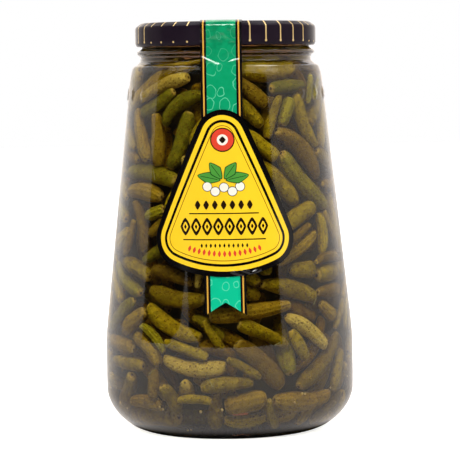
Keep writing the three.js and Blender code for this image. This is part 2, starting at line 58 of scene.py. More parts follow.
# Jar body, neck and mouth, as in the solids
WALL = 3.2
BELLY_RADIUS = 77.75
BELLY_TOP = 56
CONE_FOOT_RADIUS = 77.1
CONE_FOOT = 66
CONE_TOP_RADIUS = 61.7
CONE_TOP = 206.7
HEEL_RADIUS = 77.6
HEEL_REACH = 27.2
HEEL_RISE = 25.7
HEEL_POWER = 1.73
RING_INNER_RADIUS = 46
PUSH_UP = 5
FLOOR_EDGE = 8
FLOOR_MIDDLE = 11
INNER_HEEL_REACH = 25
INNER_HEEL_RISE = 22
NECK_RADIUS = 53.3
BEAD_RADIUS = 55.6
BEAD_LEVEL = 236.7
FINISH_RADIUS = 51.9
MOUTH_RADIUS = 48.5
MOUTH_TOP = 254.1

LOZENGE_WIDTH = 6.4
LOZENGE_HEIGHT = 10
LOZENGE_RELIEF = 0.6
LOZENGE_MIDDLE = 211
LOZENGE_FIRST = 48.75
LOZENGE_STEP = 15
LOZENGE_COUNT = 18

# The wall that is cut finely for them reaches this far up and down; each rises over 1 / LOZENGE_FLANK of
# its half width; and what lies farther out than this belongs to the outside
LOZENGE_REACH = 12
LOZENGE_CUTS = 5
LOZENGE_FLANK = 2.5
OUTSIDE_RADIUS = CONE_TOP_RADIUS - 1.5

BRINE_LEVEL = 246
BRINE_INTO_WALL = 0.15
WETTED_SHEEN = 0.08

# Twist-off cap
CAP_RADIUS = 56.5
CAP_TOP = 255.3
CAP_BOTTOM = 240.5
CAP_SHEET = 0.8
CAP_RIM_RADIUS = 52.8
CAP_PANEL_RADIUS = 41
CAP_PANEL_SINK = 0.9
BUTTON_RADIUS = 12
BUTTON_RISE = 0.5
CURL_RADIUS = 53.2
LUG_COUNT = 6
LUG_LENGTH = 13
LUG_DEPTH = 1.6
LUG_HEIGHT = 2

# Gold print on the cap: groups of full stripes, and between them a row of ticks over a row of dots
STRIPE_GROUP = 120
STRIPE_START = 15.3
STRIPE_PITCH = 10.65
STRIPES_IN_GROUP = 5
TICK_START = -53.8
TICK_PITCH = 9.85
TICKS_IN_GROUP = 7
STRIPE_WIDTH = 0.85
STRIPE_DOT = 1.5
STRIPE_FOOT = 243.2
TICK_FOOT = 252.4
STRIPE_INNER_RADIUS = 50.6

# The band and the label share a centre line, which leans a little as it goes up
LINE_AZIMUTH = -2.0
LINE_LEVEL = 150
LINE_LEAN = -0.0085
BAND_WIDTH = 25.2
BAND_LIFT = 0.3
BAND_THICK = 0.2
BAND_END = 78.5
BAND_START_RADIUS = 18
TAIL_NOTCH = 7.7
NOTCH_ROWS = 14
BAND_COLUMNS = 40
BAND_FIELD = 8.95
GOLD_MIDDLE = 10.75
GOLD_WIDTH = 0.9

# Where the film crosses the neck: the end of its bridge from the cap, then its way over the shoulder as
# (wrap radius, height, upward share of its facing), and how fast it nears the cone below that
BRIDGE_RADIUS = 59.3
BRIDGE_FOOT = 229.4
BAND_SHOULDER = [(59.6, 228.0, 0.2), (59.9, 226.4, 0.15), (60.15, 224.4, 0.12), (60.4, 222, 0.1)]
SHOULDER_SPREAD = 0.085

LABEL_BORDER = 3.3
LABEL_TOP_ROUND = 13
LABEL_TOP_LEVEL = 185.3
LABEL_CORNER_ROUND = 14
LABEL_CORNER_OUT = 26.2
LABEL_CORNER_LEVEL = 124.2
LABEL_FOOT_ROUND = 79.2
LABEL_FOOT_LEVEL = 104.7
LABEL_LIFT = 0.8
LABEL_THICK = 0.3
LABEL_GRID = 3.0
YELLOW_RING = 2.8
BLACK_RING = 1.6
FIELD_MARGIN = 1.7
HAIRLINE = 0.45

# Gherkins against the front wall where they lie, each as
# [azimuth, height, lean, length, thickness, bend, depth behind the wall], in degrees and mm.
FRONT_GHERKINS = [
    [-47, 211, 21, 41, 9.5, 2, 0],
    [-28, 203, 26, 34, 10.5, 5, 0],
    [-61, 186, -68, 37, 11, -2, 0],
    [-44, 185, -84, 34, 10.5, 1, 0],
    [-29, 182, 71, 38, 11, -2, 0],
    [-50, 165, 1, 46, 12, 2, 0],
    [-56, 151, -12, 34, 12, 2, 0],
    [-46, 137, 30, 16, 9, 0, 0],
    [-53, 131, -66, 34, 10, 3, 0],
    [-57, 105, -6, 30, 11, 1, 0],
    [-33, 101, -14, 30, 11, 2, 0],
    [-29, 88, -1, 38, 12, -3, 0],
    [-28, 72, -31, 42, 11.5, -4, 0],
    [-54, 70, 33, 26, 12, 1, 0],
    [-11, 69, -20, 24, 8, 1, 4],
    [-5, 57, -19, 24, 9.5, 1, 3],
    [-18, 48, -9, 40, 12, -4, 0],
    [-44, 54, -43, 27, 10.5, 2, 0],
    [-39, 37, -86, 19, 8.5, 0, 0],
    [-31, 27, -58, 21, 10, 1, 0],
    [-34, 61, -28, 30, 9, -2, 5],
    [-4, 22, -86, 22, 10, 0, 2],
    [-24, 15, -1, 43, 11.5, 2, 0],
    [0, 36, 3, 32, 10.5, 1, 0],
    [-66, 56, -8, 34, 11, 0, 0],
    [15, 213, -37, 34, 11, 1, 0],
    [27, 196, 89, 32, 9, 1, 2],
    [12, 200, -30, 30, 10, 1, 0],
    [21, 177, -48, 26, 10, 0, 0],
    [44, 209, 3, 28, 9.5, 0, 0],
    [43, 198, 38, 19, 10, 0, 0],
    [50, 178, -52, 46, 13.5, 5, 0],
    [68, 200, 24, 33, 11.5, 0, 0],
    [51, 156, -45, 52, 13.5, -3, 0],
    [32, 157, -45, 36, 13, 1, 0],
    [45, 137, 10, 28, 11.5, 2, 0],
    [60, 124, -84, 26, 9.5, 3, 0],
    [41, 112, 35, 37, 9, -1, 0],
    [40, 100, 20, 20, 12, 0, 0],
    [70, 99, -2, 44, 12, 0, 0],
    [11, 80, 8, 51, 12, -1, 0],
    [10, 92, -24, 20, 9.5, 0, 3],
    [33, 90, -19, 40, 12, 2, 0],
    [61, 88, -4, 27, 10, 0, 0],
    [57, 76, -88, 17, 10, 0, 0],
    [41, 76, -9, 22, 11, 0, 2],
    [20, 64, -36, 34, 9.5, 1, 0],
    [35, 60, -88, 22, 9, 0, 0],
    [46, 59, 41, 40, 9.5, -5, 3],
    [51, 48, 38, 48, 12.5, -4, 0],
    [14, 46, -39, 40, 13, 2, 0],
    [22, 51, -42, 37, 10.5, 1, 4],
    [62, 37, 50, 28, 9.5, 0, 0],
    [39, 28, -2, 43, 12, -2, 0],
    [8, 26, 14, 26, 12.5, 0, 0],
    [24, 15, 20, 30, 9.5, -2, 0],
]

# The rest is drawn and settled by the same rule as in the solids, so each lies where its solid does.
SEED = 20611
FILL_COUNT = 300
LONGEST = 50
SHORTEST = 20
SLIM_SHARE = (0.24, 0.34)
THICKEST = 13
MOST_BEND = 5
CANDIDATES = 10
SECOND_LAYER_DEPTH = 11
SECOND_LAYER_SHARE = 0.4
LAYER_LIMIT = 22
SETTLE_ROUNDS = 90
SETTLE_PUSH = 0.3
PAIR_ROUNDS = 10
PAIR_REACH = 12
WALL_HOLD = 0.5
OUTWARD_PULL = 0.25
FRONT_GIVE = 0.15
BALLS = 5
WALL_CLEARANCE = 0.5
HEAP_TOP = 236
HEAP_FLOOR = 11


def srgb(code):
    """A colour written as six hex digits, in linear light."""
    parts = [int(code[i : i + 2], 16) / 255 for i in (0, 2, 4)]
    return (*(c / 12.92 if c <= 0.04045 else ((c + 0.055) / 1.055) ** 2.4 for c in parts), 1.0)


def node(tree, kind, *inputs, **settings):
    """Adds a node with its settings, and fills its open inputs in order, or by name from a dict. An input
    is a number, a colour, a socket, or a node whose first open output is linked."""
    made = tree.nodes.new("ShaderNode" + kind)
    for name, value in settings.items():
        setattr(made, name, value)
    if inputs and isinstance(inputs[0], dict):
        named = [(made.inputs[name], value) for name, value in inputs[0].items()]
    else:
        named = zip([socket for socket in made.inputs if socket.enabled], inputs)
    for socket, value in named:
        if isinstance(value, bpy.types.Node):
            value = next(output for output in value.outputs if output.enabled)
        if isinstance(value, bpy.types.NodeSocket):
            tree.links.new(value, socket)
        else:
            socket.default_value = value
    return made


def new_material(name):
    """A material with nothing in it yet, and the way to add nodes to it."""
    made = bpy.data.materials.new(name)
    made.use_nodes = True
    made.node_tree.nodes.clear()
    return made, partial(node, made.node_tree)


# Settings of the nodes that blend and fade
BLEND = {"data_type": "RGBA"}
FADE = {"interpolation_type": "SMOOTHSTEP"}


def put(name, data):
    """Puts a mesh, a camera or a lamp in the scene."""
    made = bpy.data.objects.new(name, data)
    bpy.context.collection.objects.link(made)
    return made


def finished(bm, name, slot, stands_for, *materials):
    """Scales the mesh to metres, makes it a piece of the jar and shades it smooth."""
    bmesh.ops.scale(bm, vec=(MM, MM, MM), verts=bm.verts)
    mesh = bpy.data.meshes.new(name)
    bm.to_mesh(mesh)
    bm.free()
    mesh.shade_smooth()
    mesh.set_sharp_from_angle(angle=SHARP_ANGLE)
    piece = put(name, mesh)
    for material in materials:
        mesh.materials.append(material)
    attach(piece, "root")
    if stands_for:
        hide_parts(*stands_for)
    return piece


def eased(corners, steps=5):
    """An outline of (radius, height, ease) corners, each rounded over its ease in mm on both sides."""
    points = [Vector(corners[0][:2])]
    for before, corner, after in zip(corners, corners[1:], corners[2:]):
        here = Vector(corner[:2])
        ease = corner[2] if len(corner) > 2 else 0
        if not ease:
            points.append(here)
            continue
        start = here + (Vector(before[:2]) - here).normalized() * ease
        end = here + (Vector(after[:2]) - here).normalized() * ease
        for i in range(steps + 1):
            t = i / steps
            points.append(start * (1 - t) ** 2 + here * (2 * t * (1 - t)) + end * t * t)
    points.append(Vector(corners[-1][:2]))
    return points


def turned(outline, sides=SMOOTH_SIDES):
    """Spins a half outline from axis to axis into a closed mesh."""
    bm = bmesh.new()
    verts = [bm.verts.new((0, -radius, level)) for radius, level in outline]
    edges = [bm.edges.new(pair) for pair in zip(verts, verts[1:])]
    bmesh.ops.spin(
        bm, geom=verts + edges, axis=(0, 0, 1), cent=(0, 0, 0), angle=2 * math.pi, steps=sides, use_merge=True
    )
    bmesh.ops.remove_doubles(bm, verts=bm.verts, dist=1e-4)
    bmesh.ops.recalc_face_normals(bm, faces=bm.faces)
    return bm


def thicken(bm, thickness):
    """Turns an open sheet to face away from the jar's middle, and gives it its thickness on that side."""
    bm.normal_update()
    if sum(face.normal.dot(face.calc_center_median()) for face in bm.faces) < 0:
        bmesh.ops.reverse_faces(bm, faces=bm.faces)
        bm.normal_update()
    bmesh.ops.solidify(bm, geom=bm.faces, thickness=-thickness)
    bmesh.ops.recalc_face_normals(bm, faces=bm.faces)


def azimuth_of(x, y):
    return math.atan2(x, -y)


def cone_radius(level):
    slope = (CONE_TOP_RADIUS - CONE_FOOT_RADIUS) / (CONE_TOP - CONE_FOOT)
    return CONE_FOOT_RADIUS + slope * (level - CONE_FOOT)


def line_azimuth(level):
    return math.radians(LINE_AZIMUTH + LINE_LEAN * (level - LINE_LEVEL))


def heel(wall_radius, reach, rise, foot, steps):
    """A quarter of a superellipse, from the floor out and up to the wall."""
    points = []
    for i in range(steps + 1):
        turn = i / steps * math.pi / 2
        out = math.sin(turn) ** (2 / HEEL_POWER)
        up = 1 - math.cos(turn) ** (2 / HEEL_POWER)
        points.append((wall_radius - reach + reach * out, foot + rise * up))
    return points


def inside_outline(heel_steps):
    """Outline of the inside, from the floor's edge up to the mouth."""
    return [
        *heel(BELLY_RADIUS - WALL, INNER_HEEL_REACH, INNER_HEEL_RISE, FLOOR_EDGE, heel_steps),
        (BELLY_RADIUS - WALL, BELLY_TOP, 5),
        (CONE_FOOT_RADIUS - WALL, CONE_FOOT, 5),
        (CONE_TOP_RADIUS - WALL, CONE_TOP, 6),
        (56.4, 223, 2.2),
        (53.2, 227, 2.2),
        (NECK_RADIUS - 3.7, 231.6, 2.2),
        (MOUTH_RADIUS, 240, 2),
        (MOUTH_RADIUS, MOUTH_TOP - 1.2, 0.5),
    ]


def glass_outline():
    """Outline of the glass, from the middle of the base up outside, over the mouth and down inside."""
    return [
        (0, PUSH_UP),
        (RING_INNER_RADIUS - 6, PUSH_UP - 1.4, 2.5),
        (RING_INNER_RADIUS, 0.1, 1.2),
        *heel(HEEL_RADIUS, HEEL_REACH, HEEL_RISE, 0, 22)[1:],
        (BELLY_RADIUS, 32, 2),
        (BELLY_RADIUS, BELLY_TOP, 5),
        (CONE_FOOT_RADIUS, CONE_FOOT, 5),
        *[(cone_radius(level), level) for level in range(90, 200, 22)],
        (CONE_TOP_RADIUS, CONE_TOP, 6),
        (60, 222, 2.5),
        (58.3, 228, 1.3),
        (55.8, 229.2, 1.0),
        (NECK_RADIUS + 0.2, 231.4, 1.0),
        (NECK_RADIUS, BEAD_LEVEL - 2.4, 0.9),
        (BEAD_RADIUS, BEAD_LEVEL - 0.9, 0.7),
        (BEAD_RADIUS, BEAD_LEVEL + 0.7, 0.7),
        (FINISH_RADIUS + 0.4, BEAD_LEVEL + 2.6, 1.0),
        (FINISH_RADIUS, MOUTH_TOP - 1.7, 0.7),
        (FINISH_RADIUS - 1.5, MOUTH_TOP, 0.7),
        (MOUTH_RADIUS + 0.6, MOUTH_TOP, 0.5),
        *reversed(inside_outline(18)),
        (0, FLOOR_MIDDLE),
    ]


def clear_glass(name, ior, clarity, sheen, volume=None):
    """A clear body that lets lamps through, so that what it holds is lit. Sheen is the share of its
    reflection that is kept: next to none where glass and brine touch."""
    made, add = new_material(name)
    body = add("BsdfPrincipled", {
        "Base Color": clarity, "Roughness": 0.0, "IOR": ior, "Transmission Weight": 1.0,
        "Specular Tint": (sheen, sheen, sheen, 1),
    })
    see_through = add("BsdfTransparent", clarity)
    shadow_ray = add("LightPath").outputs["Is Shadow Ray"]
    output = {"Surface": add("MixShader", shadow_ray, body, see_through)}
    if volume:
        output["Volume"] = add("VolumeAbsorption", volume)
    add("OutputMaterial", output)
    return made


def jar_glass():
    """Soda-lime container glass, blown and fire polished: clear with a faint green-grey cast."""
    glass = clear_glass("soda_lime_glass", 1.51, srgb("F6FAF4"), 1.0)
    wetted = clear_glass("soda_lime_glass_wetted", 1.51, srgb("F6FAF4"), WETTED_SHEEN)
    bm = turned(eased(glass_outline()), 300)
    for face in bm.faces:
        middle = face.calc_center_median()
        inwards = face.normal.x * middle.x + face.normal.y * middle.y < 0 or face.normal.z > 0.9
        if inwards and FLOOR_EDGE - 1 < middle.z < BRINE_LEVEL:
            face.material_index = 1
    half_width, half_height = LOZENGE_WIDTH / 2, LOZENGE_HEIGHT / 2
    shoulder = [
        f for f in bm.faces
        if abs(f.calc_center_median().z - LOZENGE_MIDDLE) < LOZENGE_REACH
        and f.calc_center_median().xy.length > OUTSIDE_RADIUS
    ]
    edges = {e for f in shoulder for e in f.edges if abs(e.verts[0].co.z - e.verts[1].co.z) > 0.5}
    bmesh.ops.subdivide_edges(bm, edges=list(edges), cuts=LOZENGE_CUTS, use_grid_fill=True)
    for vert in bm.verts:
        radius = vert.co.xy.length
        if radius < OUTSIDE_RADIUS or abs(vert.co.z - LOZENGE_MIDDLE) > half_height:
            continue
        azimuth = math.degrees(azimuth_of(vert.co.x, vert.co.y)) % 360
        turn = (azimuth - LOZENGE_FIRST + LOZENGE_STEP / 2) / LOZENGE_STEP
        if not 0 <= turn < LOZENGE_COUNT:
            continue
        beside = math.radians((turn % 1 - 0.5) * LOZENGE_STEP) * radius
        inside = 1 - abs(beside) / half_width - abs(vert.co.z - LOZENGE_MIDDLE) / half_height
        lift = LOZENGE_RELIEF * min(max(inside * LOZENGE_FLANK, 0), 1)
        vert.co.xy *= 1 + lift / radius
    finished(bm, "glass", "clear_glass", ["jar_glass"], glass, wetted)


def cap_outline():
    """Outline of the cap, from its middle out under the sheet, round the curl and back over the top."""
    panel = CAP_TOP - CAP_PANEL_SINK
    return [
        (0, panel - CAP_SHEET + BUTTON_RISE),
        (BUTTON_RADIUS - 1, panel - CAP_SHEET + BUTTON_RISE, 0.6),
        (BUTTON_RADIUS + 1, panel - CAP_SHEET, 0.6),
        (CAP_PANEL_RADIUS, panel - CAP_SHEET, 0.6),
        (CAP_PANEL_RADIUS + 2.4, CAP_TOP - CAP_SHEET, 0.6),
        (CAP_RIM_RADIUS - 1, CAP_TOP - CAP_SHEET, 1),
        (CAP_RADIUS - CAP_SHEET, CAP_TOP - 3.9, 1),
        (CAP_RADIUS - CAP_SHEET, CAP_BOTTOM + 2.8, 0.4),
        (CURL_RADIUS + 0.3, CAP_BOTTOM + 2, 0.7),
        (CURL_RADIUS + 0.4, CAP_BOTTOM, 0.7),
        (CAP_RADIUS - 1, CAP_BOTTOM, 0.8),
        (CAP_RADIUS, CAP_BOTTOM + 2, 0.8),
        (CAP_RADIUS, CAP_TOP - 3.8, 0.6),
        (CAP_RADIUS - 0.5, CAP_TOP - 2.5, 0.5),
        (CAP_RIM_RADIUS, CAP_TOP - 0.2, 0.7),
        (CAP_RIM_RADIUS - 1.4, CAP_TOP, 0.5),
        (CAP_PANEL_RADIUS + 2, CAP_TOP, 0.8),
        (CAP_PANEL_RADIUS - 0.4, panel, 0.8),
        (BUTTON_RADIUS + 1, panel, 0.8),
        (BUTTON_RADIUS - 1, panel + BUTTON_RISE, 0.8),
        (0, panel + BUTTON_RISE),
    ]


def repeated(add, angle, start, pitch, count):
    """Distance in degrees to the nearest of a group's marks, and 1 where the group has one."""
    first = add("Math", angle, start - pitch / 2, operation="SUBTRACT")
    turn = add("Math", first, STRIPE_GROUP, operation="FLOORED_MODULO")
    past = add("Math", turn, pitch, operation="FLOORED_MODULO")
    nearest = add("Math", past, pitch / 2, operation="SUBTRACT")
    in_group = add("Math", turn, count * pitch, operation="LESS_THAN")
    return add("Math", nearest, operation="ABSOLUTE"), in_group


def lacquered_tinplate():
    """Tinplate under black lacquer with gold print: glossy, with a fine unevenness from the rollers."""
    made, add = new_material("lacquered_tinplate")
    place = add("TexCoord").outputs["Object"]
    axes = add("SeparateXYZ", place).outputs
    back = add("Math", axes[1], -1.0, operation="MULTIPLY")
    angle = add("Math", add("Math", axes[0], back, operation="ARCTAN2"), operation="DEGREES")
    level = axes[2]
    radius = add("VectorMath", add("CombineXYZ", axes[0], axes[1]), operation="LENGTH")
    per_degree = add("Math", radius, math.pi / 180, operation="MULTIPLY")
    outside = add("Math", radius, STRIPE_INNER_RADIUS * MM, operation="GREATER_THAN")

    def marks(start, pitch, count, foot, dot_level, dot):
        apart, in_group = repeated(add, angle, start, pitch, count)
        beside = add("Math", apart, per_degree, operation="MULTIPLY")
        edge = STRIPE_WIDTH * MM / 2
        line = add("MapRange", beside, edge * 1.25, edge * 0.75, **FADE)
        over_foot = add("Math", level, foot * MM, operation="GREATER_THAN")
        line = add("Math", line, over_foot, operation="MULTIPLY")
        line = add("Math", line, outside, operation="MULTIPLY")
        above = add("Math", level, dot_level * MM, operation="SUBTRACT")
        away = add("VectorMath", add("CombineXYZ", beside, above), operation="LENGTH")
        end = add("MapRange", away, dot * MM * 0.6, dot * MM * 0.4, **FADE)
        both = add("Math", line, end, operation="MAXIMUM")
        return add("Math", both, in_group, operation="MULTIPLY")

    full = marks(STRIPE_START, STRIPE_PITCH, STRIPES_IN_GROUP, STRIPE_FOOT, STRIPE_FOOT, STRIPE_DOT)
    short = marks(TICK_START, TICK_PITCH, TICKS_IN_GROUP, TICK_FOOT, STRIPE_FOOT - 0.4, STRIPE_DOT * 0.8)
    gold = add("Math", full, short, operation="MAXIMUM")
    rollers = add("TexNoise", {"Vector": place, "Scale": 1 / (9 * MM), "Detail": 3.0})
    black = add("Mix", rollers, srgb("18111A"), srgb("211822"), **BLEND)
    worn_gold = add("Mix", rollers, srgb("C9A566"), srgb("E6CC95"), **BLEND)
    body = add("BsdfPrincipled", {
        "Base Color": add("Mix", gold, black, worn_gold, **BLEND),
        "Roughness": add("Math", rollers, 0.06, 0.13, operation="MULTIPLY_ADD"),
        "IOR": 1.14,
        "Metallic": add("Math", gold, 0.35, operation="MULTIPLY"),
        "Normal": add("Bump", {"Strength": 0.06, "Distance": 0.2 * MM, "Height": rollers}),
    })
    add("OutputMaterial", body)
    return made


def cap():
    """The shut cap, with its lugs inside."""
    bm = turned(eased(cap_outline(), 4), 192)
    for i in range(LUG_COUNT):
        lug = bmesh.ops.create_cube(bm, size=1)["verts"]
        bmesh.ops.scale(bm, vec=(LUG_LENGTH, LUG_DEPTH, LUG_HEIGHT), verts=lug)
        edges = {e for v in lug for e in v.link_edges}
        rounded = bmesh.ops.bevel(
            bm, geom=list(edges), offset=0.4, segments=2, profile=0.5, affect="EDGES", material=-1
        )
        lug = list({v for f in rounded["faces"] for v in f.verts})
        bmesh.ops.translate(bm, vec=(0, -CURL_RADIUS, CAP_BOTTOM + 1.3), verts=lug)
        turn = Matrix.Rotation(i * 2 * math.pi / LUG_COUNT, 3, "Z")
        bmesh.ops.rotate(bm, cent=(0, 0, 0), matrix=turn, verts=lug)
    finished(bm, "lid", "black_lacquer", ["cap"], lacquered_tinplate())


def wrapped(side, radius, level, slide=0.0):
    """A point beside the centre line, wrapped round the jar, then slid inwards over the cap."""
    middle = line_azimuth(level)
    turn = middle + side / radius
    return Vector((
        radius * math.sin(turn) - slide * math.sin(middle),
        -radius * math.cos(turn) + slide * math.cos(middle),
        level,
    ))


def band_way():
    """The band's way over the cap, down its side, across the neck and down the cone, as
    (wrap radius, height, slide over the cap, outward and upward share of its facing)."""
    top = CAP_TOP + BAND_LIFT
    beside_cap = CAP_RADIUS + BAND_LIFT
    start = [
        (CAP_RIM_RADIUS, top, CAP_RIM_RADIUS - radius, 0, 1)
        for radius in np.linspace(BAND_START_RADIUS, CAP_RIM_RADIUS - 1.2, 14)
    ]
    over = [
        (CAP_RIM_RADIUS + 0.3, top - 0.1, 0, 0.4, 0.9),
        (CAP_RADIUS - 0.1, CAP_TOP - 2.1, 0, 0.8, 0.6),
        (beside_cap, CAP_TOP - 3.6, 0, 1, 0.1),
    ]
    skirt = [(beside_cap, level, 0, 1, 0) for level in np.linspace(CAP_TOP - 5, CAP_BOTTOM + 0.8, 12)]
    bridge = [
        (beside_cap + share * (BRIDGE_RADIUS - beside_cap), level, 0, 1, 0.2)
        for share, level in zip(np.linspace(0.1, 1, 14), np.linspace(CAP_BOTTOM - 0.2, BRIDGE_FOOT, 14))
    ]
    shoulder = [(radius, level, 0, 1, up) for radius, level, up in BAND_SHOULDER]
    last_radius, last_level, _ = BAND_SHOULDER[-1]
    down = []
    for level in np.linspace(CONE_TOP + 10, BAND_END, 90):
        radius = cone_radius(level) + BAND_LIFT
        if level > CONE_TOP:
            radius = max(radius, last_radius + (last_level - level) * SHOULDER_SPREAD)
        down.append((radius, level, 0, 1, 0.11))
    return start + over + skirt + bridge + shoulder + down


# Creases in the band as (side, height, half length, half width, turn in degrees, lift), in mm
BAND_CREASES = [
    (-6.5, 230.2, 8.5, 0.9, -24, 0.55),
    (8.6, 230.6, 4.6, 0.8, 14, 0.5),
    (-1.0, 227.2, 7.0, 0.9, -8, 0.3),
    (4.5, 233.8, 6.0, 1.0, 35, 0.25),
    (-7.0, 236.0, 5.0, 0.9, -50, 0.22),
    (2.0, 238.6, 5.0, 0.9, 62, 0.22),
    (-3.0, 247.0, 6.0, 1.2, 20, 0.12),
    (5.0, 245.0, 5.0, 1.0, -38, 0.12),
    (-6.0, 219.0, 9.0, 1.2, 66, 0.14),
    (6.0, 214.0, 8.0, 1.3, -70, 0.12),
]


def crease_lift(creases, side, level):
    """How far the creases lift the sheet at one place, in mm."""
    lift = 0.0
    for x, z, half_length, half_width, turn, height in creases:
        c, s = math.cos(math.radians(turn)), math.sin(math.radians(turn))
        along = (side - x) * c + (level - z) * s
        across = (level - z) * c - (side - x) * s
        lift += height * math.exp(-((along / half_length) ** 4) - (across / half_width) ** 2)
    return lift


def printed_film():
    """Polypropylene film printed in green, black and gold: glossy, with pale drawn loops."""
    made, add = new_material("printed_film")
    place = add("UVMap", uv_map="print")
    side, level, _ = add("SeparateXYZ", place).outputs
    side = add("Math", side, operation="ABSOLUTE")
    fade = 0.08
    on_field = add("MapRange", side, BAND_FIELD + fade, BAND_FIELD - fade, **FADE)
    off_gold = add("Math", add("Math", side, GOLD_MIDDLE, operation="SUBTRACT"), operation="ABSOLUTE")
    on_gold = add("MapRange", off_gold, GOLD_WIDTH / 2 + fade, GOLD_WIDTH / 2 - fade, **FADE)

    # Loops: rings in loose cells, pulled out of true
    drift = add("TexNoise", {"Vector": place, "Scale": 1 / 5, "Detail": 1.5}).outputs["Color"]
    drift = add("VectorMath", drift, (3.0, 3.0, 0), operation="MULTIPLY")
    moved = add("VectorMath", place, drift, operation="ADD")
    moved = add("VectorMath", moved, (1, 0.75, 0), operation="MULTIPLY")
    cell = {"Vector": moved, "Scale": 1 / 8, "Randomness": 0.45}
    cells = add("TexVoronoi", cell, voronoi_dimensions="2D").outputs
    chance = add("SeparateXYZ", cells["Color"]).outputs[0]
    size = add("Math", chance, 0.22, 0.18, operation="MULTIPLY_ADD")
    loop = add("Math", cells["Distance"], size, operation="SUBTRACT")
    drawn = add("MapRange", add("Math", loop, operation="ABSOLUTE"), 0.035, 0.015, **FADE)

    # Green: lighter down the wall, clouded, and darker in patches on the cap
    clouds = add("TexNoise", {"Vector": place, "Scale": 1 / 6, "Detail": 4.0})
    low = add("MapRange", level, 205.0, 150.0, **FADE)
    green = add("Mix", low, srgb("048A54"), srgb("04BA8C"), **BLEND)
    clouded = add("Math", clouds, 0.35, operation="MULTIPLY")
    green = add("Mix", clouded, green, srgb("23C795"), **BLEND)
    on_lid = add("MapRange", level, 226.0, 240.0, **FADE)
    patches = add("MapRange", clouds, 0.35, 0.65, **FADE)
    on_lid = add("Math", on_lid, patches, operation="MULTIPLY")
    on_lid = add("Math", on_lid, 0.6, operation="MULTIPLY")
    green = add("Mix", on_lid, green, srgb("026A40"), **BLEND)
    faint = add("MapRange", level, 240.0, 210.0, **FADE)
    faint = add("Math", faint, 0.4, 0.15, operation="MULTIPLY_ADD")
    faint = add("Math", drawn, faint, operation="MULTIPLY")
    green = add("Mix", faint, green, srgb("78E2BC"), **BLEND)
    edge = add("Mix", on_gold, srgb("0D0B0C"), srgb("D9A441"), **BLEND)

    # Slack film ripples over the neck
    ripple = add("TexNoise", {"Vector": place, "Scale": 1 / 3.5, "Detail": 2.0})
    slack = add("MapRange", level, 200.0, 228.0, **FADE)
    slack = add("Math", slack, 0.5, 0.06, operation="MULTIPLY_ADD")
    body = add("BsdfPrincipled", {
        "Base Color": add("Mix", on_field, edge, green, **BLEND), "Roughness": 0.14, "IOR": 1.49,
        "Normal": add("Bump", {"Strength": slack, "Distance": 0.35 * MM, "Height": ripple}),
    })
    add("OutputMaterial", body)
    return made


def seal_band():
    """A strip of film that starts as a plane of cells and is laid along its way, then given thickness."""
    way = band_way()
    bm = bmesh.new()
    bmesh.ops.create_grid(bm, x_segments=BAND_COLUMNS, y_segments=len(way) - 1, size=0.5)
    uv = bm.loops.layers.uv.new("print")
    places = {}
    for vert in bm.verts:
        side = vert.co.x * BAND_WIDTH
        row = round((0.5 - vert.co.y) * (len(way) - 1))
        radius, level, slide, out, up = way[row]
        notch = TAIL_NOTCH * (1 - abs(side) / (BAND_WIDTH / 2))
        from_start = max(0, 1 - row / NOTCH_ROWS)
        from_end = max(0, 1 - (len(way) - 1 - row) / NOTCH_ROWS)
        slide -= notch * from_start
        level += notch * from_end
        radius = cone_radius(level) + BAND_LIFT if from_end else radius
        lift = crease_lift(BAND_CREASES, side, level) if slide <= 0 else 0
        places[vert] = (side, level + slide)
        vert.co = wrapped(side, radius + lift * out, level + lift * up, max(slide, 0))
    for face in bm.faces:
        for loop in face.loops:
            loop[uv].uv = places[loop.vert]
    bmesh.ops.recalc_face_normals(bm, faces=bm.faces)
    thicken(bm, BAND_THICK)
    finished(bm, "band_film", "green_film", ["seal_band"], printed_film())


def label_edge():
    """Right-hand edge of the label from its top to its foot, as (beside the centre line, height)."""
    top = LABEL_TOP_ROUND + LABEL_BORDER
    corner = LABEL_CORNER_ROUND + LABEL_BORDER
    foot = LABEL_FOOT_ROUND + LABEL_BORDER
    drop = LABEL_TOP_LEVEL - LABEL_CORNER_LEVEL
    lean = math.atan2(LABEL_CORNER_OUT, drop) + math.asin((corner - top) / math.hypot(LABEL_CORNER_OUT, drop))
    foot_middle = LABEL_FOOT_LEVEL + LABEL_FOOT_ROUND
    foot_turn = math.atan2(LABEL_CORNER_OUT, foot_middle - LABEL_CORNER_LEVEL) - math.pi / 2

    def arc(x, z, radius, start, end, steps):
        turns = np.linspace(start, end, steps + 1)
        return [(x + radius * math.cos(t), z + radius * math.sin(t)) for t in turns]

    return [
        *arc(0, LABEL_TOP_LEVEL, top, math.pi / 2, lean, 14),
        *arc(LABEL_CORNER_OUT, LABEL_CORNER_LEVEL, corner, lean, foot_turn, 18),
        *arc(0, foot_middle, foot, foot_turn, -math.pi / 2, 16)[1:],
    ]


def coated_paper(name, ink):
    """Machine-coated paper, offset printed and varnished: smooth, with a soft gloss."""
    made, add = new_material(name)
    place = add("TexCoord").outputs["Object"]
    fibre = add("TexNoise", {"Vector": place, "Scale": 1 / (1.2 * MM), "Detail": 4.0})
    shade = add("TexNoise", {"Vector": place, "Scale": 1 / (25 * MM), "Detail": 1.0})
    share = add("Math", fibre, 0.4, operation="MULTIPLY")
    share = add("Math", shade, 0.6, share, operation="MULTIPLY_ADD")
    dark = (*(c * 0.93 for c in srgb(ink)[:3]), 1.0)
    body = add("BsdfPrincipled", {
        "Base Color": add("Mix", share, dark, srgb(ink), **BLEND), "Roughness": 0.15, "IOR": 1.45,
        "Normal": add("Bump", {"Strength": 0.05, "Distance": 0.1 * MM, "Height": fibre}),
    })
    add("OutputMaterial", body)
    return made


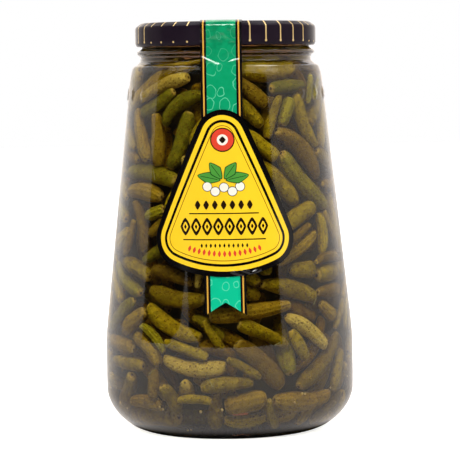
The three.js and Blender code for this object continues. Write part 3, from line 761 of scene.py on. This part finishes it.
def on_cone(bm, verts, lift):
    """Wraps flat (beside, height, raise) points round the cone along the centre line."""
    for vert in verts:
        side, level, rise = vert.co.x, vert.co.y, vert.co.z
        turn = line_azimuth(level) + side / cone_radius(level)
        radius = cone_radius(level) + lift + rise
        vert.co = (radius * math.sin(turn), -radius * math.cos(turn), level)


def diced(bm, step, part=((-100, 100), (0, 300))):
    """Cuts one part of a flat shape by upright and level planes, so that it can bend."""

    def in_part(verts):
        return all(low <= v.co[axis] <= high for v in verts for axis, (low, high) in enumerate(part))

    for axis, (low, high) in enumerate(part):
        low = max(low, min(v.co[axis] for v in bm.verts))
        high = min(high, max(v.co[axis] for v in bm.verts))
        for place in np.arange(math.ceil(low / step), math.floor(high / step) + 1) * step:
            normal = Vector((0, 0, 0))
            point = Vector((0, 0, 0))
            normal[axis] = 1
            point[axis] = place
            geometry = [v for v in bm.verts if in_part([v])]
            geometry += [e for e in bm.edges if in_part(e.verts)]
            geometry += [f for f in bm.faces if in_part(f.verts)]
            bmesh.ops.bisect_plane(bm, geom=geometry, dist=1e-5, plane_co=point, plane_no=normal)


# Creases in the label's foot where it lies over the band's edge, and the part that they need cut finely
LABEL_CREASES = [
    (8.5, 103.3, 4.8, 0.75, -17, 0.62),
    (12.1, 105.0, 3.4, 0.75, -19, 0.66),
    (17.9, 104.2, 3.6, 0.9, 21, 0.62),
]
CREASED_PART = ((2.99, 24.01), (98.99, 108.01))
CREASE_GRID = 0.375


def label():
    """The label's rings are inset one in another, then the sheet is bent round the cone."""
    right = label_edge()
    outline = right + [(-x, z) for x, z in reversed(right[1:-1])]
    bm = bmesh.new()
    field = bm.faces.new([bm.verts.new((x, z, 0)) for x, z in reversed(outline)])
    bm.normal_update()
    rings = [(LABEL_BORDER, 0), (YELLOW_RING, 1), (BLACK_RING, 0), (FIELD_MARGIN, 1), (HAIRLINE, 2)]
    for width, ink in rings:
        ring = bmesh.ops.inset_region(
            bm, faces=[field], thickness=width, use_boundary=True, use_even_offset=True
        )
        for face in ring["faces"]:
            face.material_index = ink
    field.material_index = 1
    diced(bm, LABEL_GRID)
    diced(bm, CREASE_GRID, CREASED_PART)
    bmesh.ops.recalc_face_normals(bm, faces=bm.faces)
    for vert in bm.verts:
        vert.co.z = crease_lift(LABEL_CREASES, vert.co.x, vert.co.y)
    on_cone(bm, bm.verts, LABEL_LIFT)
    thicken(bm, LABEL_THICK)
    inks = [
        coated_paper("coated_paper_black", "070506"),
        coated_paper("coated_paper_yellow", "FFD02A"),
        coated_paper("coated_paper_brown", "8A5A12"),
    ]
    finished(bm, "paper_label", "printed_paper", ["label"], *inks)


# Inks of the plain ornament that takes the place of the label's picture and lettering
INKS = [
    ("red", "DE4630"),
    ("white", "F3EEDF"),
    ("leaf_green", "4E9A3C"),
    ("deep_green", "1D4A22"),
    ("dark_brown", "23140A"),
    ("yellow", "FFD02A"),
]
RED, WHITE, LEAF_GREEN, DEEP_GREEN, DARK_BROWN, YELLOW = range(len(INKS))
INK_LAYER = 0.03
INK_THICK = 0.02

# Roundel as (ink, size) of its discs from the lowest up, with a lozenge for its eye
ROUNDEL_LEVEL = 183.5
ROUNDEL = [(DARK_BROWN, 14.6), (RED, 13.2), (WHITE, 6.6)]
ROUNDEL_EYE = 4.0

# Leaves as (lean in degrees, length), fanned out from one place over a row of berries
LEAF_FAN = [(-78, 13), (78, 13), (-36, 11), (36, 11)]
LEAF_ROOT = 159
LEAF_WIDTH = 6.2
LEAF_EDGE = 1.2
LEAF_VEIN = 0.4
BERRIES = [(-9.5, 155.5), (-4.8, 152.6), (0.4, 155.0), (5.4, 152.6), (10.0, 155.5)]
BERRY_SIZE = 5.2
BERRY_EDGE = 0.8

# Rows of lozenges as (how many, pitch, height, (ink, width, length) of each one's lozenges from the lowest
# up), and rules as (height, length)
LOZENGE_ROWS = [
    (7, 5.2, 144.5, [(DARK_BROWN, 3.4, 5.4)]),
    (8, 6.7, 131.6, [(DARK_BROWN, 6.4, 10.5), (YELLOW, 3.4, 5.8), (DARK_BROWN, 1.6, 2.8)]),
    (11, 2.7, 120.2, [(DARK_BROWN, 1.3, 2.6)]),
]
RULES = [(139.4, 42), (123.8, 50)]
RULE_WIDTH = 0.7

# The red row along the foot, on an arc round the middle of the label's foot
FOOT_COUNT = 15
FOOT_STEP = 2.55
FOOT_ARC = LABEL_FOOT_ROUND - 10.5


def ornaments():
    """Every printed shape as (shape, ink, layer, beside the centre line, height, width, length, turn)."""
    shapes = [
        ("disc", ink, layer, 0, ROUNDEL_LEVEL, size, size, 0) for layer, (ink, size) in enumerate(ROUNDEL, 1)
    ]
    shapes.append(("leaf", DARK_BROWN, 4, 0, ROUNDEL_LEVEL, ROUNDEL_EYE, ROUNDEL_EYE, 0))
    for i, (lean, length) in enumerate(LEAF_FAN):
        turn = math.radians(lean)
        x = math.sin(turn) * length / 1.5
        z = LEAF_ROOT + math.cos(turn) * length / 1.5
        shapes += [
            ("leaf", DEEP_GREEN, 1 + 3 * i, x, z, LEAF_WIDTH + LEAF_EDGE, length + LEAF_EDGE, lean),
            ("leaf", LEAF_GREEN, 2 + 3 * i, x, z, LEAF_WIDTH, length, lean),
            ("bar", DEEP_GREEN, 3 + 3 * i, x, z, LEAF_VEIN, length * 0.8, lean),
        ]
    for i, (x, z) in enumerate(BERRIES):
        layer = 1 + 2 * (i % 2)
        edge = BERRY_SIZE + BERRY_EDGE
        shapes.append(("disc", DARK_BROWN, layer, x, z, edge, edge, 0))
        shapes.append(("disc", WHITE, layer + 1, x, z, BERRY_SIZE, BERRY_SIZE, 0))
    for count, pitch, level, nest in LOZENGE_ROWS:
        for i in range(count):
            x = (i - (count - 1) / 2) * pitch
            for layer, (ink, width, length) in enumerate(nest, 1):
                shapes.append(("leaf", ink, layer, x, level, width, length, 0))
    for level, length in RULES:
        shapes.append(("bar", DARK_BROWN, 1, 0, level, length, RULE_WIDTH, 0))
    for i in range(FOOT_COUNT):
        lean = (i - (FOOT_COUNT - 1) / 2) * FOOT_STEP
        x = math.sin(math.radians(lean)) * FOOT_ARC
        z = LABEL_FOOT_LEVEL + LABEL_FOOT_ROUND - math.cos(math.radians(lean)) * FOOT_ARC
        shapes.append(("leaf", RED, 1, x, z, 1.9, 3.8, -lean))
    return shapes


def label_print():
    """The ornament, as thin ink laid over the label."""
    bm = bmesh.new()
    for shape, ink, layer, x, z, width, height, turn in ornaments():
        if shape == "bar":
            made = bmesh.ops.create_grid(bm, x_segments=1, y_segments=1, size=0.5)["verts"]
        else:
            made = bmesh.ops.create_circle(bm, cap_ends=True, segments=32, radius=0.5)["verts"]
        bmesh.ops.scale(bm, vec=(width, height, 1), verts=made)
        if shape == "leaf":
            for vert in made:
                vert.co.x *= 1 - abs(vert.co.y) / height
        bmesh.ops.rotate(bm, cent=(0, 0, 0), matrix=Matrix.Rotation(-math.radians(turn), 3, "Z"), verts=made)
        bmesh.ops.translate(bm, vec=(x, z, layer * INK_LAYER), verts=made)
        for face in {f for v in made for f in v.link_faces}:
            face.material_index = ink
    diced(bm, LABEL_GRID)
    on_cone(bm, bm.verts, LABEL_LIFT + LABEL_THICK)
    for face in bm.faces:
        face.normal_update()
        if face.normal.xy.dot(face.calc_center_median().xy) < 0:
            face.normal_flip()
    thicken(bm, INK_THICK)
    inks = [coated_paper("ink_" + name, code) for name, code in INKS]
    finished(bm, "label_print", "printed_paper", [], *inks)


def inside_radius(level):
    outline = inside_outline(4)
    return np.interp(level, [p[1] for p in outline], [p[0] for p in outline])


def ball_limit(level, radius):
    """Farthest from the axis that a ball's centre may be."""
    slant = 0.7 * radius
    return np.minimum(
        inside_radius(level) - radius,
        np.minimum(inside_radius(level - slant), inside_radius(level + slant)) - slant,
    ) - WALL_CLEARANCE


class Draws:
    """Repeatable draws, the same as those that laid the solids."""

    def __init__(self, seed):
        self.state = seed

    def __call__(self, low, high):
        self.state = self.state * 48271 % 2147483647
        return low + (high - low) * self.state / 2147483647


def rod(azimuth, level, lean, length, thick, bend, depth, give):
    """A gherkin as a bent rod between two end balls, against the wall or some way behind it."""
    radius = thick / 2
    reach = float(ball_limit(level, radius)) - depth
    east, north = math.cos(azimuth), math.sin(azimuth)
    middle = np.array([reach * north, -reach * east, level])
    along = np.array([east * math.cos(lean), north * math.cos(lean), math.sin(lean)])
    bend_way = np.array([-east * math.sin(lean), -north * math.sin(lean), math.cos(lean)])
    half = (length - thick) / 2
    return {
        "a": middle - along * half, "b": middle + along * half, "bend_way": bend_way, "bend": bend,
        "radius": radius, "half": half, "give": give, "depth": depth,
    }


BALL_SHARE = np.linspace(0, 1, BALLS)
BALL_BULGE = 1 - (2 * BALL_SHARE - 1) ** 2


def balls_of(a, b, bend_way, bend):
    """Ball centres of many rods at once, as an array of rods by balls by three."""
    share = BALL_SHARE[None, :, None]
    line = a[:, None] * (1 - share) + b[:, None] * share
    return line + bend_way[:, None] * (bend[:, None] * (BALL_BULGE - 0.5))[:, :, None]


def rod_balls(g):
    return balls_of(g["a"][None], g["b"][None], g["bend_way"][None], np.array([g["bend"]]))[0]


def lay_gherkins():
    """Front gherkins first, then the drawn ones, longest first, each in the freest of some places."""
    draw = Draws(SEED)
    laid = [
        rod(math.radians(azimuth), level, math.radians(lean), length, thick, bend, depth, FRONT_GIVE)
        for azimuth, level, lean, length, thick, bend, depth in FRONT_GHERKINS
    ]
    lengths = sorted((draw(SHORTEST, LONGEST) for _ in range(FILL_COUNT)), reverse=True)
    centres = np.concatenate([rod_balls(g) for g in laid])
    radii = np.repeat([g["radius"] for g in laid], BALLS)
    for length in lengths:
        thick = min(length * draw(*SLIM_SHARE), THICKEST)
        bend = draw(-MOST_BEND, MOST_BEND) * length / LONGEST
        depth = SECOND_LAYER_DEPTH if draw(0, 1) < SECOND_LAYER_SHARE else 0
        best, best_free = None, -math.inf
        for _ in range(CANDIDATES):
            azimuth = draw(-math.pi, math.pi)
            level = draw(HEAP_FLOOR + thick / 2, HEAP_TOP - thick / 2)
            lean = draw(-math.pi / 2, math.pi / 2)
            g = rod(azimuth, level, lean, length, thick, bend, depth, 1)
            apart = np.linalg.norm(rod_balls(g)[:, None] - centres[None], axis=2)
            free = (apart - g["radius"] - radii).min()
            if free > best_free:
                best, best_free = g, free
        laid.append(best)
        centres = np.concatenate([centres, rod_balls(best)])
        radii = np.concatenate([radii, np.full(BALLS, best["radius"])])
    heap = {name: np.array([g[name] for g in laid]) for name in laid[0]}
    for turn in range(SETTLE_ROUNDS):
        settle(heap, turn)
    tuck_in(heap)
    return heap


def settle(heap, turn):
    """One round of settling: balls that overlap push each other's rods apart, and the wall holds them in."""
    balls = balls_of(heap["a"], heap["b"], heap["bend_way"], heap["bend"])
    flat = balls.reshape(-1, 3)
    radius = np.repeat(heap["radius"], BALLS)
    give = np.repeat(heap["give"], BALLS)
    owner = np.repeat(np.arange(len(heap["a"])), BALLS)
    if turn % PAIR_ROUNDS == 0:
        square = (flat ** 2).sum(1)
        apart = np.sqrt(np.maximum(square[:, None] + square[None] - 2 * flat @ flat.T, 0))
        close = (apart < radius[:, None] + radius[None] + PAIR_REACH) & (owner[:, None] < owner[None])
        heap["pairs"] = np.nonzero(close)
    i, j = heap["pairs"]
    gap = flat[i] - flat[j]
    apart = np.linalg.norm(gap, axis=1)
    overlap = np.maximum(radius[i] + radius[j] - apart, 0)
    push = gap * (SETTLE_PUSH * overlap / np.maximum(apart, 1e-9) / (give[i] + give[j]))[:, None]
    moves = np.zeros_like(flat)
    np.add.at(moves, i, push * give[i][:, None])
    np.add.at(moves, j, -push * give[j][:, None])
    pull = 1 - turn / SETTLE_ROUNDS
    out = np.hypot(flat[:, 0], flat[:, 1])
    limit = ball_limit(flat[:, 2], radius)
    way = flat * [1, 1, 0] / out[:, None]
    outer = np.repeat(heap["depth"] == 0, BALLS)
    wall = np.where(
        out > limit,
        (limit - out) * WALL_HOLD,
        np.where(
            out < limit - LAYER_LIMIT,
            (limit - LAYER_LIMIT - out) * WALL_HOLD,
            np.where(outer, OUTWARD_PULL * pull * give, 0),
        ),
    )
    moves += way * wall[:, None]
    moves[:, 2] += np.maximum(HEAP_FLOOR + radius - flat[:, 2], 0) * WALL_HOLD
    moves[:, 2] -= np.maximum(flat[:, 2] - (HEAP_TOP - radius), 0) * WALL_HOLD
    moves = moves.reshape(balls.shape)
    share = BALL_SHARE[None, :, None]
    a = heap["a"] + (moves * (1 - share)).sum(1)
    b = heap["b"] + (moves * share).sum(1)
    middle = (a + b) / 2
    along = (b - a) / np.linalg.norm(b - a, axis=1)[:, None]
    heap["a"] = middle - along * heap["half"][:, None]
    heap["b"] = middle + along * heap["half"][:, None]
    square_on = heap["bend_way"] - along * (heap["bend_way"] * along).sum(1)[:, None]
    heap["bend_way"] = square_on / np.linalg.norm(square_on, axis=1)[:, None]


def tuck_in(heap):
    """Moves each gherkin in until none of its balls is past the wall."""
    balls = balls_of(heap["a"], heap["b"], heap["bend_way"], heap["bend"])
    radius = np.repeat(heap["radius"][:, None], BALLS, axis=1)
    past = np.maximum((np.hypot(balls[..., 0], balls[..., 1]) - ball_limit(balls[..., 2], radius)).max(1), 0)
    middle = (heap["a"] + heap["b"]) / 2
    inwards = -middle * [1, 1, 0] / np.hypot(middle[:, 0], middle[:, 1])[:, None] * past[:, None]
    heap["a"] = heap["a"] + inwards
    heap["b"] = heap["b"] + inwards


# Kinds of gherkin: name, darkest and lightest skin, share of the heap
GHERKIN_KINDS = [
    ("olive", "6A5408", "A88C0C", 0.44),
    ("brown", "62480C", "987818", 0.30),
    ("green", "58500A", "8C7C10", 0.18),
    ("pale", "A08434", "C6A848", 0.08),
]
GHERKIN_SIDES = 10
GHERKIN_RINGS = 13
RIBS = 9

# Lumps as (share of the girth, how many times round, how fast along)
LUMPS = [(0.05, 3, 0), (0.05, 0, 5), (0.04, 2, 4), (0.03, 3, 9)]

# Draws the kind, tint and shape of each gherkin: one whose front gherkins come near the photograph's tones
LOOK_SEED = 311548


def gherkin_skin(name, dark, light):
    """Skin of a small cucumber after pickling: matt, mottled, ribbed lengthwise, with dark warts."""
    made, add = new_material(name)
    place = add("TexCoord").outputs["Object"]
    tint = add("Attribute", attribute_name="tint").outputs["Fac"]
    around, along, _ = add("SeparateXYZ", add("UVMap", uv_map="skin")).outputs
    from_middle = add("Math", add("Math", along, 0.5, operation="SUBTRACT"), operation="ABSOLUTE")
    from_end = add("Math", 0.5, from_middle, operation="SUBTRACT")
    mottle = add("TexNoise", {"Vector": place, "Scale": 1 / (4 * MM), "Detail": 5.0, "Roughness": 0.65})
    grain = add("TexNoise", {"Vector": place, "Scale": 1 / (0.7 * MM), "Detail": 2.0})
    cells = add("TexVoronoi", {"Vector": place, "Scale": 1 / (1.9 * MM), "Randomness": 1.0}).outputs
    wart = add("MapRange", cells["Distance"], 0.45, 0.12, **FADE)

    # Ribs, stronger on some gherkins than on others
    sway = add("Math", mottle, 4.0, operation="MULTIPLY")
    turn = add("Math", around, RIBS * 2 * math.pi, sway, operation="MULTIPLY_ADD")
    wave = add("Math", turn, operation="SINE")
    ribbed = add("Math", wave, add("MapRange", tint, 0.45, 0.9, **FADE), operation="MULTIPLY")

    # Colour: mottled, then grained, tanned at the ends, specked, and dark at the stalk
    share = add("Math", tint, 1.0, operation="SUBTRACT")
    share = add("Math", mottle, 2.0, share, operation="MULTIPLY_ADD")
    share = add("Clamp", add("Math", ribbed, 0.12, share, operation="MULTIPLY_ADD"))
    colour = add("Mix", share, srgb(dark), srgb(light), **BLEND)
    grained = add("Math", add("MapRange", grain, 0.3, 0.7, **FADE), 0.4, operation="MULTIPLY")
    colour = add("Mix", grained, colour, srgb("3A2E04"), **BLEND)
    colour = add("Mix", add("MapRange", from_end, 0.16, 0.05, **FADE), colour, srgb("9A7E30"), **BLEND)
    some = add("Math", add("SeparateXYZ", cells["Color"]), 0.25, operation="GREATER_THAN")
    speck = add("MapRange", cells["Distance"], 0.38, 0.2, **FADE)
    speck = add("Math", speck, some, operation="MULTIPLY")
    speck = add("Math", speck, 0.68, operation="MULTIPLY")
    colour = add("Mix", speck, colour, srgb("502E04"), **BLEND)
    colour = add("Mix", add("MapRange", from_end, 0.035, 0.015, **FADE), colour, srgb("3A2408"), **BLEND)

    height = add("Math", grain, 0.5, operation="MULTIPLY")
    height = add("Math", wart, 0.7, height, operation="MULTIPLY_ADD")
    height = add("Math", ribbed, 0.4, height, operation="MULTIPLY_ADD")
    body = add("BsdfPrincipled", {
        "Base Color": colour, "Roughness": 0.5, "IOR": 1.08,
        "Normal": add("Bump", {"Strength": 0.9, "Distance": 0.6 * MM, "Height": height}),
    })
    add("OutputMaterial", body)
    return made


def add_gherkin(bm, heap, i, look, tint_layer):
    """One gherkin: a ball drawn out along its bent rod, blunt, a little tapered and lumpy."""
    a, b = heap["a"][i], heap["b"][i]
    along = (b - a) / np.linalg.norm(b - a)
    bend_way = heap["bend_way"][i]
    across = np.cross(along, bend_way)
    middle = (a + b) / 2
    length = heap["half"][i] + heap["radius"][i]
    tint = look.random()
    taper = look.uniform(-0.2, 0.2)
    blunt = look.uniform(0.4, 0.6)
    waves = look.uniform(0, 2 * math.pi, 5)
    made = bmesh.ops.create_uvsphere(
        bm, u_segments=GHERKIN_SIDES, v_segments=GHERKIN_RINGS, radius=1, calc_uvs=True
    )
    for vert in made["verts"]:
        x, y, z = vert.co
        share = math.copysign(abs(z) ** 0.8, z)
        turn = math.atan2(y, x)
        girth = heap["radius"][i] * math.hypot(x, y) ** blunt * (1 + taper * share) * (1 - 0.4 * abs(taper))
        lumps = 1
        for (height, around, fast), wave in zip(LUMPS, waves):
            lumps += height * math.sin(around * turn + fast * share + wave)
        bent = heap["bend"][i] * (0.5 - share * share)
        x_out = girth * lumps * math.cos(turn) + bent
        y_out = girth * lumps * math.sin(turn)
        vert.co = middle + along * share * length * 0.98 + bend_way * x_out + across * y_out
        vert[tint_layer] = tint


def gherkins():
    """The real gherkins, one piece for each kind."""
    heap = lay_gherkins()
    look = np.random.default_rng(LOOK_SEED)
    shares = np.array([kind[3] for kind in GHERKIN_KINDS])
    kinds = look.choice(len(GHERKIN_KINDS), size=len(heap["a"]), p=shares / shares.sum())
    for k, (name, dark, light, _) in enumerate(GHERKIN_KINDS):
        bm = bmesh.new()
        tint_layer = bm.verts.layers.float.new("tint")
        bm.loops.layers.uv.new("skin")
        for i in np.nonzero(kinds == k)[0]:
            add_gherkin(bm, heap, i, look, tint_layer)
        bmesh.ops.recalc_face_normals(bm, faces=bm.faces)
        skin = gherkin_skin("pickled_skin_" + name, dark, light)
        piece = finished(bm, "gherkins_" + name, "gherkin_flesh", ["gherkins"], skin)
        finer = piece.modifiers.new("rounder", "SUBSURF")
        finer.levels = 1
        finer.render_levels = 1


# The middle of the heap, this far in from the wall
CORE_DEPTH = 19
CORE_FOOT = 20
CORE_TOP = 226


def heap_core():
    """A dark core in the middle of the heap, behind the gherkins that show: painted shade for the gaps
    between them.
    """
    made, add = new_material("painted_shade_heap_core")
    place = add("TexCoord").outputs["Object"]
    cells = add("TexVoronoi", {"Vector": place, "Scale": 1 / (11 * MM)})
    # Painted shade: dark olive cells, so that the gaps between the gherkins in front look shaded.
    colour = add("Mix", cells, srgb("5E560E"), srgb("2E2C06"), **BLEND)
    add("OutputMaterial", add("BsdfPrincipled", {"Base Color": colour, "Roughness": 0.8}))
    levels = np.linspace(CORE_FOOT, CORE_TOP, 22)
    side = [(float(inside_radius(level)) - CORE_DEPTH, level) for level in levels]
    bm = turned([(0, CORE_FOOT), *side, (0, CORE_TOP)], 96)
    for vert in bm.verts:
        turn = azimuth_of(vert.co.x, vert.co.y)
        swell = 0.03 * math.sin(7 * turn + vert.co.z * 0.4)
        swell += 0.02 * math.sin(11 * turn - vert.co.z * 0.23)
        vert.co.xy *= 1 + swell
    finished(bm, "heap_middle", "gherkin_flesh", ["gherkins"], made)


# Mustard seeds thin out as they go up from the foot; dill lies between two heights
MUSTARD_COUNT = 44
MUSTARD_RADIUS = 0.8
MUSTARD_FOOT = 10.5
MUSTARD_REACH = 26
DILL_COUNT = 46
DILL_LEVELS = (14, 190)
SCRAP_SEED = 93


def against_wall(bm, verts, azimuth, level, inset, tilt):
    """Turns a small shape that lies in the XZ plane and puts it near the inside of the wall."""
    turn = Matrix.Rotation(tilt, 3, "Y")
    bmesh.ops.rotate(bm, cent=(0, 0, 0), matrix=turn, verts=verts)
    bmesh.ops.translate(bm, vec=(0, -(float(inside_radius(level)) - inset), level), verts=verts)
    bmesh.ops.rotate(bm, cent=(0, 0, 0), matrix=Matrix.Rotation(azimuth, 3, "Z"), verts=verts)


def scrap_skin(name, cloud, dark, light, finish):
    """Skin of a small scrap, clouded from a dark to a light colour. Clouds are measured in mm."""
    made, add = new_material(name)
    place = add("TexCoord").outputs["Object"]
    shade = add("TexNoise", {"Vector": place, "Scale": 1 / (cloud * MM)})
    colour = add("Mix", shade, srgb(dark), srgb(light), **BLEND)
    add("OutputMaterial", add("BsdfPrincipled", {"Base Color": colour, **finish}))
    return made


def mustard_seeds():
    """Yellow mustard seeds that have sunk to the foot of the jar."""
    coat = scrap_skin("mustard_seed_coat", 3, "9A7426", "D6B868", {"Roughness": 0.4, "IOR": 1.45})
    look = np.random.default_rng(SCRAP_SEED)
    bm = bmesh.new()
    for _ in range(MUSTARD_COUNT):
        seed = bmesh.ops.create_icosphere(bm, subdivisions=2, radius=MUSTARD_RADIUS)["verts"]
        size = look.uniform(0.7, 1.1)
        bmesh.ops.scale(bm, vec=(size, size, size), verts=seed)
        level = MUSTARD_FOOT + MUSTARD_REACH * look.random() ** 1.6
        against_wall(bm, seed, look.uniform(-math.pi, math.pi), level, 1.6, 0)
    finished(bm, "mustard_seeds", "gherkin_flesh", [], coat)


def dill_bits():
    """Scraps of dill stalk and frond that float beside the wall."""
    frond = scrap_skin("dill_frond", 6, "4A4A10", "8A7A3A", {"Roughness": 0.6})
    look = np.random.default_rng(SCRAP_SEED + 1)
    bm = bmesh.new()
    for _ in range(DILL_COUNT):
        length = look.uniform(3, 9)
        stalk = bmesh.ops.create_cone(
            bm, cap_ends=True, segments=6, radius1=0.35, radius2=0.12, depth=length
        )["verts"]
        level = look.uniform(*DILL_LEVELS)
        against_wall(bm, stalk, look.uniform(-math.pi, math.pi), level, 1.4, look.uniform(-1.5, 1.5))
    finished(bm, "dill_bits", "gherkin_flesh", [], frond)


def brine():
    """Vinegar brine, tinted by the gherkins. It reaches just into the glass, so no air shows between."""
    liquid = clear_glass(
        "vinegar_brine", 1.34, (1, 1, 1, 1), WETTED_SHEEN, {"Color": srgb("C8981C"), "Density": 36.0}
    )
    wall = []
    for radius, level, *ease in inside_outline(18):
        if level < BRINE_LEVEL:
            wall.append((radius + BRINE_INTO_WALL, level, *ease))
    outline = [
        (0, FLOOR_MIDDLE - BRINE_INTO_WALL),
        (wall[0][0], wall[0][1] - BRINE_INTO_WALL),
        *wall[1:],
        (MOUTH_RADIUS + BRINE_INTO_WALL, BRINE_LEVEL, 1),
        (0, BRINE_LEVEL),
    ]
    finished(turned(eased(outline)), "brine", "clear_glass", [], liquid)


def camera():
    """The photograph's camera, as it was fitted to the jar."""
    data = bpy.data.cameras.new("view")
    data.lens = CAMERA_FOCAL_PIXELS * SENSOR_WIDTH / IMAGE_SIDE
    data.sensor_width = SENSOR_WIDTH
    data.clip_end = 20
    made = put("view", data)
    place = Matrix.Translation(Vector((CAMERA_SIDE, -CAMERA_DISTANCE, CAMERA_HEIGHT)) * MM)
    tilt = Matrix.Rotation(math.pi / 2 - CAMERA_PITCH, 4, "X")
    roll = Matrix.Rotation(-CAMERA_ROLL, 4, "Z")
    made.matrix_world = place @ tilt @ roll
    bpy.context.scene.camera = made


# Soft boxes as (name, azimuth, elevation, distance, (width, height), watts), in degrees and metres
LAMP_TARGET = Vector((0, 0, 0.13))
LAMPS = [
    ("key_light", -8, 52, 2.6, (1.1, 0.6), 47),
    ("right_light", 80, 62, 2.6, (1.4, 1.0), 29),
    ("left_light", -100, 62, 2.6, (1.4, 1.0), 15),
    ("back_light", 180, 60, 2.8, (2.0, 1.2), 20),
]


def lamp(name, azimuth, elevation, distance, size, power):
    """A soft box that faces the middle of the jar, the way that its azimuth and elevation say."""
    data = bpy.data.lights.new(name, "AREA")
    data.shape = "RECTANGLE"
    data.size, data.size_y = size
    data.energy = power
    a, e = math.radians(azimuth), math.radians(elevation)
    way = Vector((math.sin(a) * math.cos(e), -math.cos(a) * math.cos(e), math.sin(e)))
    turn = way.to_track_quat("Z", "Y").to_matrix().to_4x4()
    put(name, data).matrix_world = Matrix.Translation(LAMP_TARGET + way * distance) @ turn


# White surround: it starts this far round from the camera, on the right and on the left, is brighter
# behind the jar, and ends below a dark ceiling. Turns are in degrees, and heights are shares of straight up.
SURROUND_RIGHT = 50
SURROUND_LEFT = -89
SURROUND_SOFT_EDGE = 0.3
SURROUND_COLOUR = (1.0, 0.93, 0.88, 1.0)
SURROUND_LIGHT = 0.8
SURROUND_GAP_LIGHT = 0.02
SURROUND_BACK_LIGHT = 1.45
BACK_FROM = 110.0
BACK_FULL = 155.0
CEILING_START = 0.72
CEILING_DARK = 0.82

# A narrow strip of light in the gap, which spreads towards its foot
STRIP_AZIMUTH = -42
STRIP_HALF_WIDTH = 1.0
STRIP_WIDEST = 14.0
STRIP_SOFT_EDGE = 0.4
STRIP_SPREAD = 135
STRIP_TOP = 0.12
STRIP_END = 0.14
STRIP_LIGHT = 0.7


def surround():
    """A white studio cove behind and beside the jar, open and dark towards the camera."""
    world = bpy.data.worlds.new("studio")
    bpy.context.scene.world = world
    world.use_nodes = True
    world.node_tree.nodes.clear()
    add = partial(node, world.node_tree)
    x, y, up = add("SeparateXYZ", add("TexCoord").outputs["Generated"]).outputs
    back = add("Math", y, -1.0, operation="MULTIPLY")
    angle = add("Math", add("Math", x, back, operation="ARCTAN2"), operation="DEGREES")
    soft = SURROUND_SOFT_EDGE
    right = add("MapRange", angle, SURROUND_RIGHT - soft, SURROUND_RIGHT + soft, **FADE)
    left = add("MapRange", angle, SURROUND_LEFT + soft, SURROUND_LEFT - soft, **FADE)
    white = add("Math", right, left, operation="MAXIMUM")
    behind = add("MapRange", add("Math", angle, operation="ABSOLUTE"), BACK_FROM, BACK_FULL, **FADE)

    off_strip = add("Math", add("Math", angle, STRIP_AZIMUTH, operation="SUBTRACT"), operation="ABSOLUTE")
    below_top = add("Math", add("Math", STRIP_TOP, up, operation="SUBTRACT"), 0.0, operation="MAXIMUM")
    half_width = add("Math", below_top, STRIP_SPREAD, STRIP_HALF_WIDTH, operation="MULTIPLY_ADD")
    half_width = add("Math", half_width, STRIP_WIDEST, operation="MINIMUM")
    dark_from = add("Math", half_width, STRIP_SOFT_EDGE, operation="ADD")
    light_to = add("Math", half_width, STRIP_SOFT_EDGE, operation="SUBTRACT")
    strip = add("MapRange", off_strip, dark_from, light_to, **FADE)
    under_top = add("MapRange", up, STRIP_END, STRIP_TOP, **FADE)
    strip = add("Math", strip, under_top, operation="MULTIPLY")

    more = SURROUND_LIGHT - SURROUND_GAP_LIGHT
    light = add("Math", white, more, SURROUND_GAP_LIGHT, operation="MULTIPLY_ADD")
    light = add("Math", strip, STRIP_LIGHT, light, operation="MULTIPLY_ADD")
    light = add("Math", behind, SURROUND_BACK_LIGHT - SURROUND_LIGHT, light, operation="MULTIPLY_ADD")
    below_ceiling = add("MapRange", up, CEILING_DARK, CEILING_START, **FADE)
    light = add("Math", light, below_ceiling, operation="MULTIPLY")
    seen = add("Background", (1, 1, 1, 1), 1.0)
    lit = add("Background", SURROUND_COLOUR, light)
    camera_ray = add("LightPath").outputs["Is Camera Ray"]
    add("OutputWorld", add("MixShader", camera_ray, lit, seen))


# Light given off by the floor where the camera sees it and where the glass mirrors it, and how far from
# the jar's axis the mirrored floor is dark and light, in metres: the dark ring is a painted shadow round the
# jar's foot
FLOOR_SEEN = 0.72
FLOOR_MIRRORED = 1.0
FLOOR_DARK_TO = 0.0585
FLOOR_LIGHT_FROM = 0.0685


def floor():
    """A pale painted floor."""
    made, add = new_material("pale_floor")
    path = add("LightPath").outputs
    mirrored_ray = path["Is Glossy Ray"]
    away = add("VectorMath", add("TexCoord").outputs["Object"], operation="LENGTH")
    # Painted shadow: the floor that the glass mirrors gives off less light near the jar's foot.
    near = add("MapRange", away, FLOOR_LIGHT_FROM, FLOOR_DARK_TO, **FADE)
    mirrored = add("Math", FLOOR_MIRRORED, near, operation="SUBTRACT")
    mirrored = add("Clamp", add("Math", mirrored_ray, mirrored, operation="MULTIPLY"))
    glow = add("Math", path["Is Camera Ray"], FLOOR_SEEN, mirrored, operation="MULTIPLY_ADD")
    body = add("BsdfPrincipled", {
        "Base Color": add("Mix", mirrored_ray, srgb("F4F4F4"), (0, 0, 0, 1), **BLEND), "Roughness": 0.9,
        "Emission Color": add("Mix", mirrored_ray, (1, 1, 1, 1), SURROUND_COLOUR, **BLEND),
        "Emission Strength": glow,
    })
    add("OutputMaterial", body)
    bm = bmesh.new()
    bmesh.ops.create_grid(bm, x_segments=1, y_segments=1, size=6)
    mesh = bpy.data.meshes.new("floor")
    bm.to_mesh(mesh)
    bm.free()
    mesh.materials.append(made)
    piece = put("floor", mesh)


camera()
surround()
floor()
for soft_box in LAMPS:
    lamp(*soft_box)
bpy.context.scene.view_settings.view_transform = "Standard"

jar_glass()
cap()
seal_band()
label()
label_print()
gherkins()
heap_core()
mustard_seeds()
dill_bits()
brine()
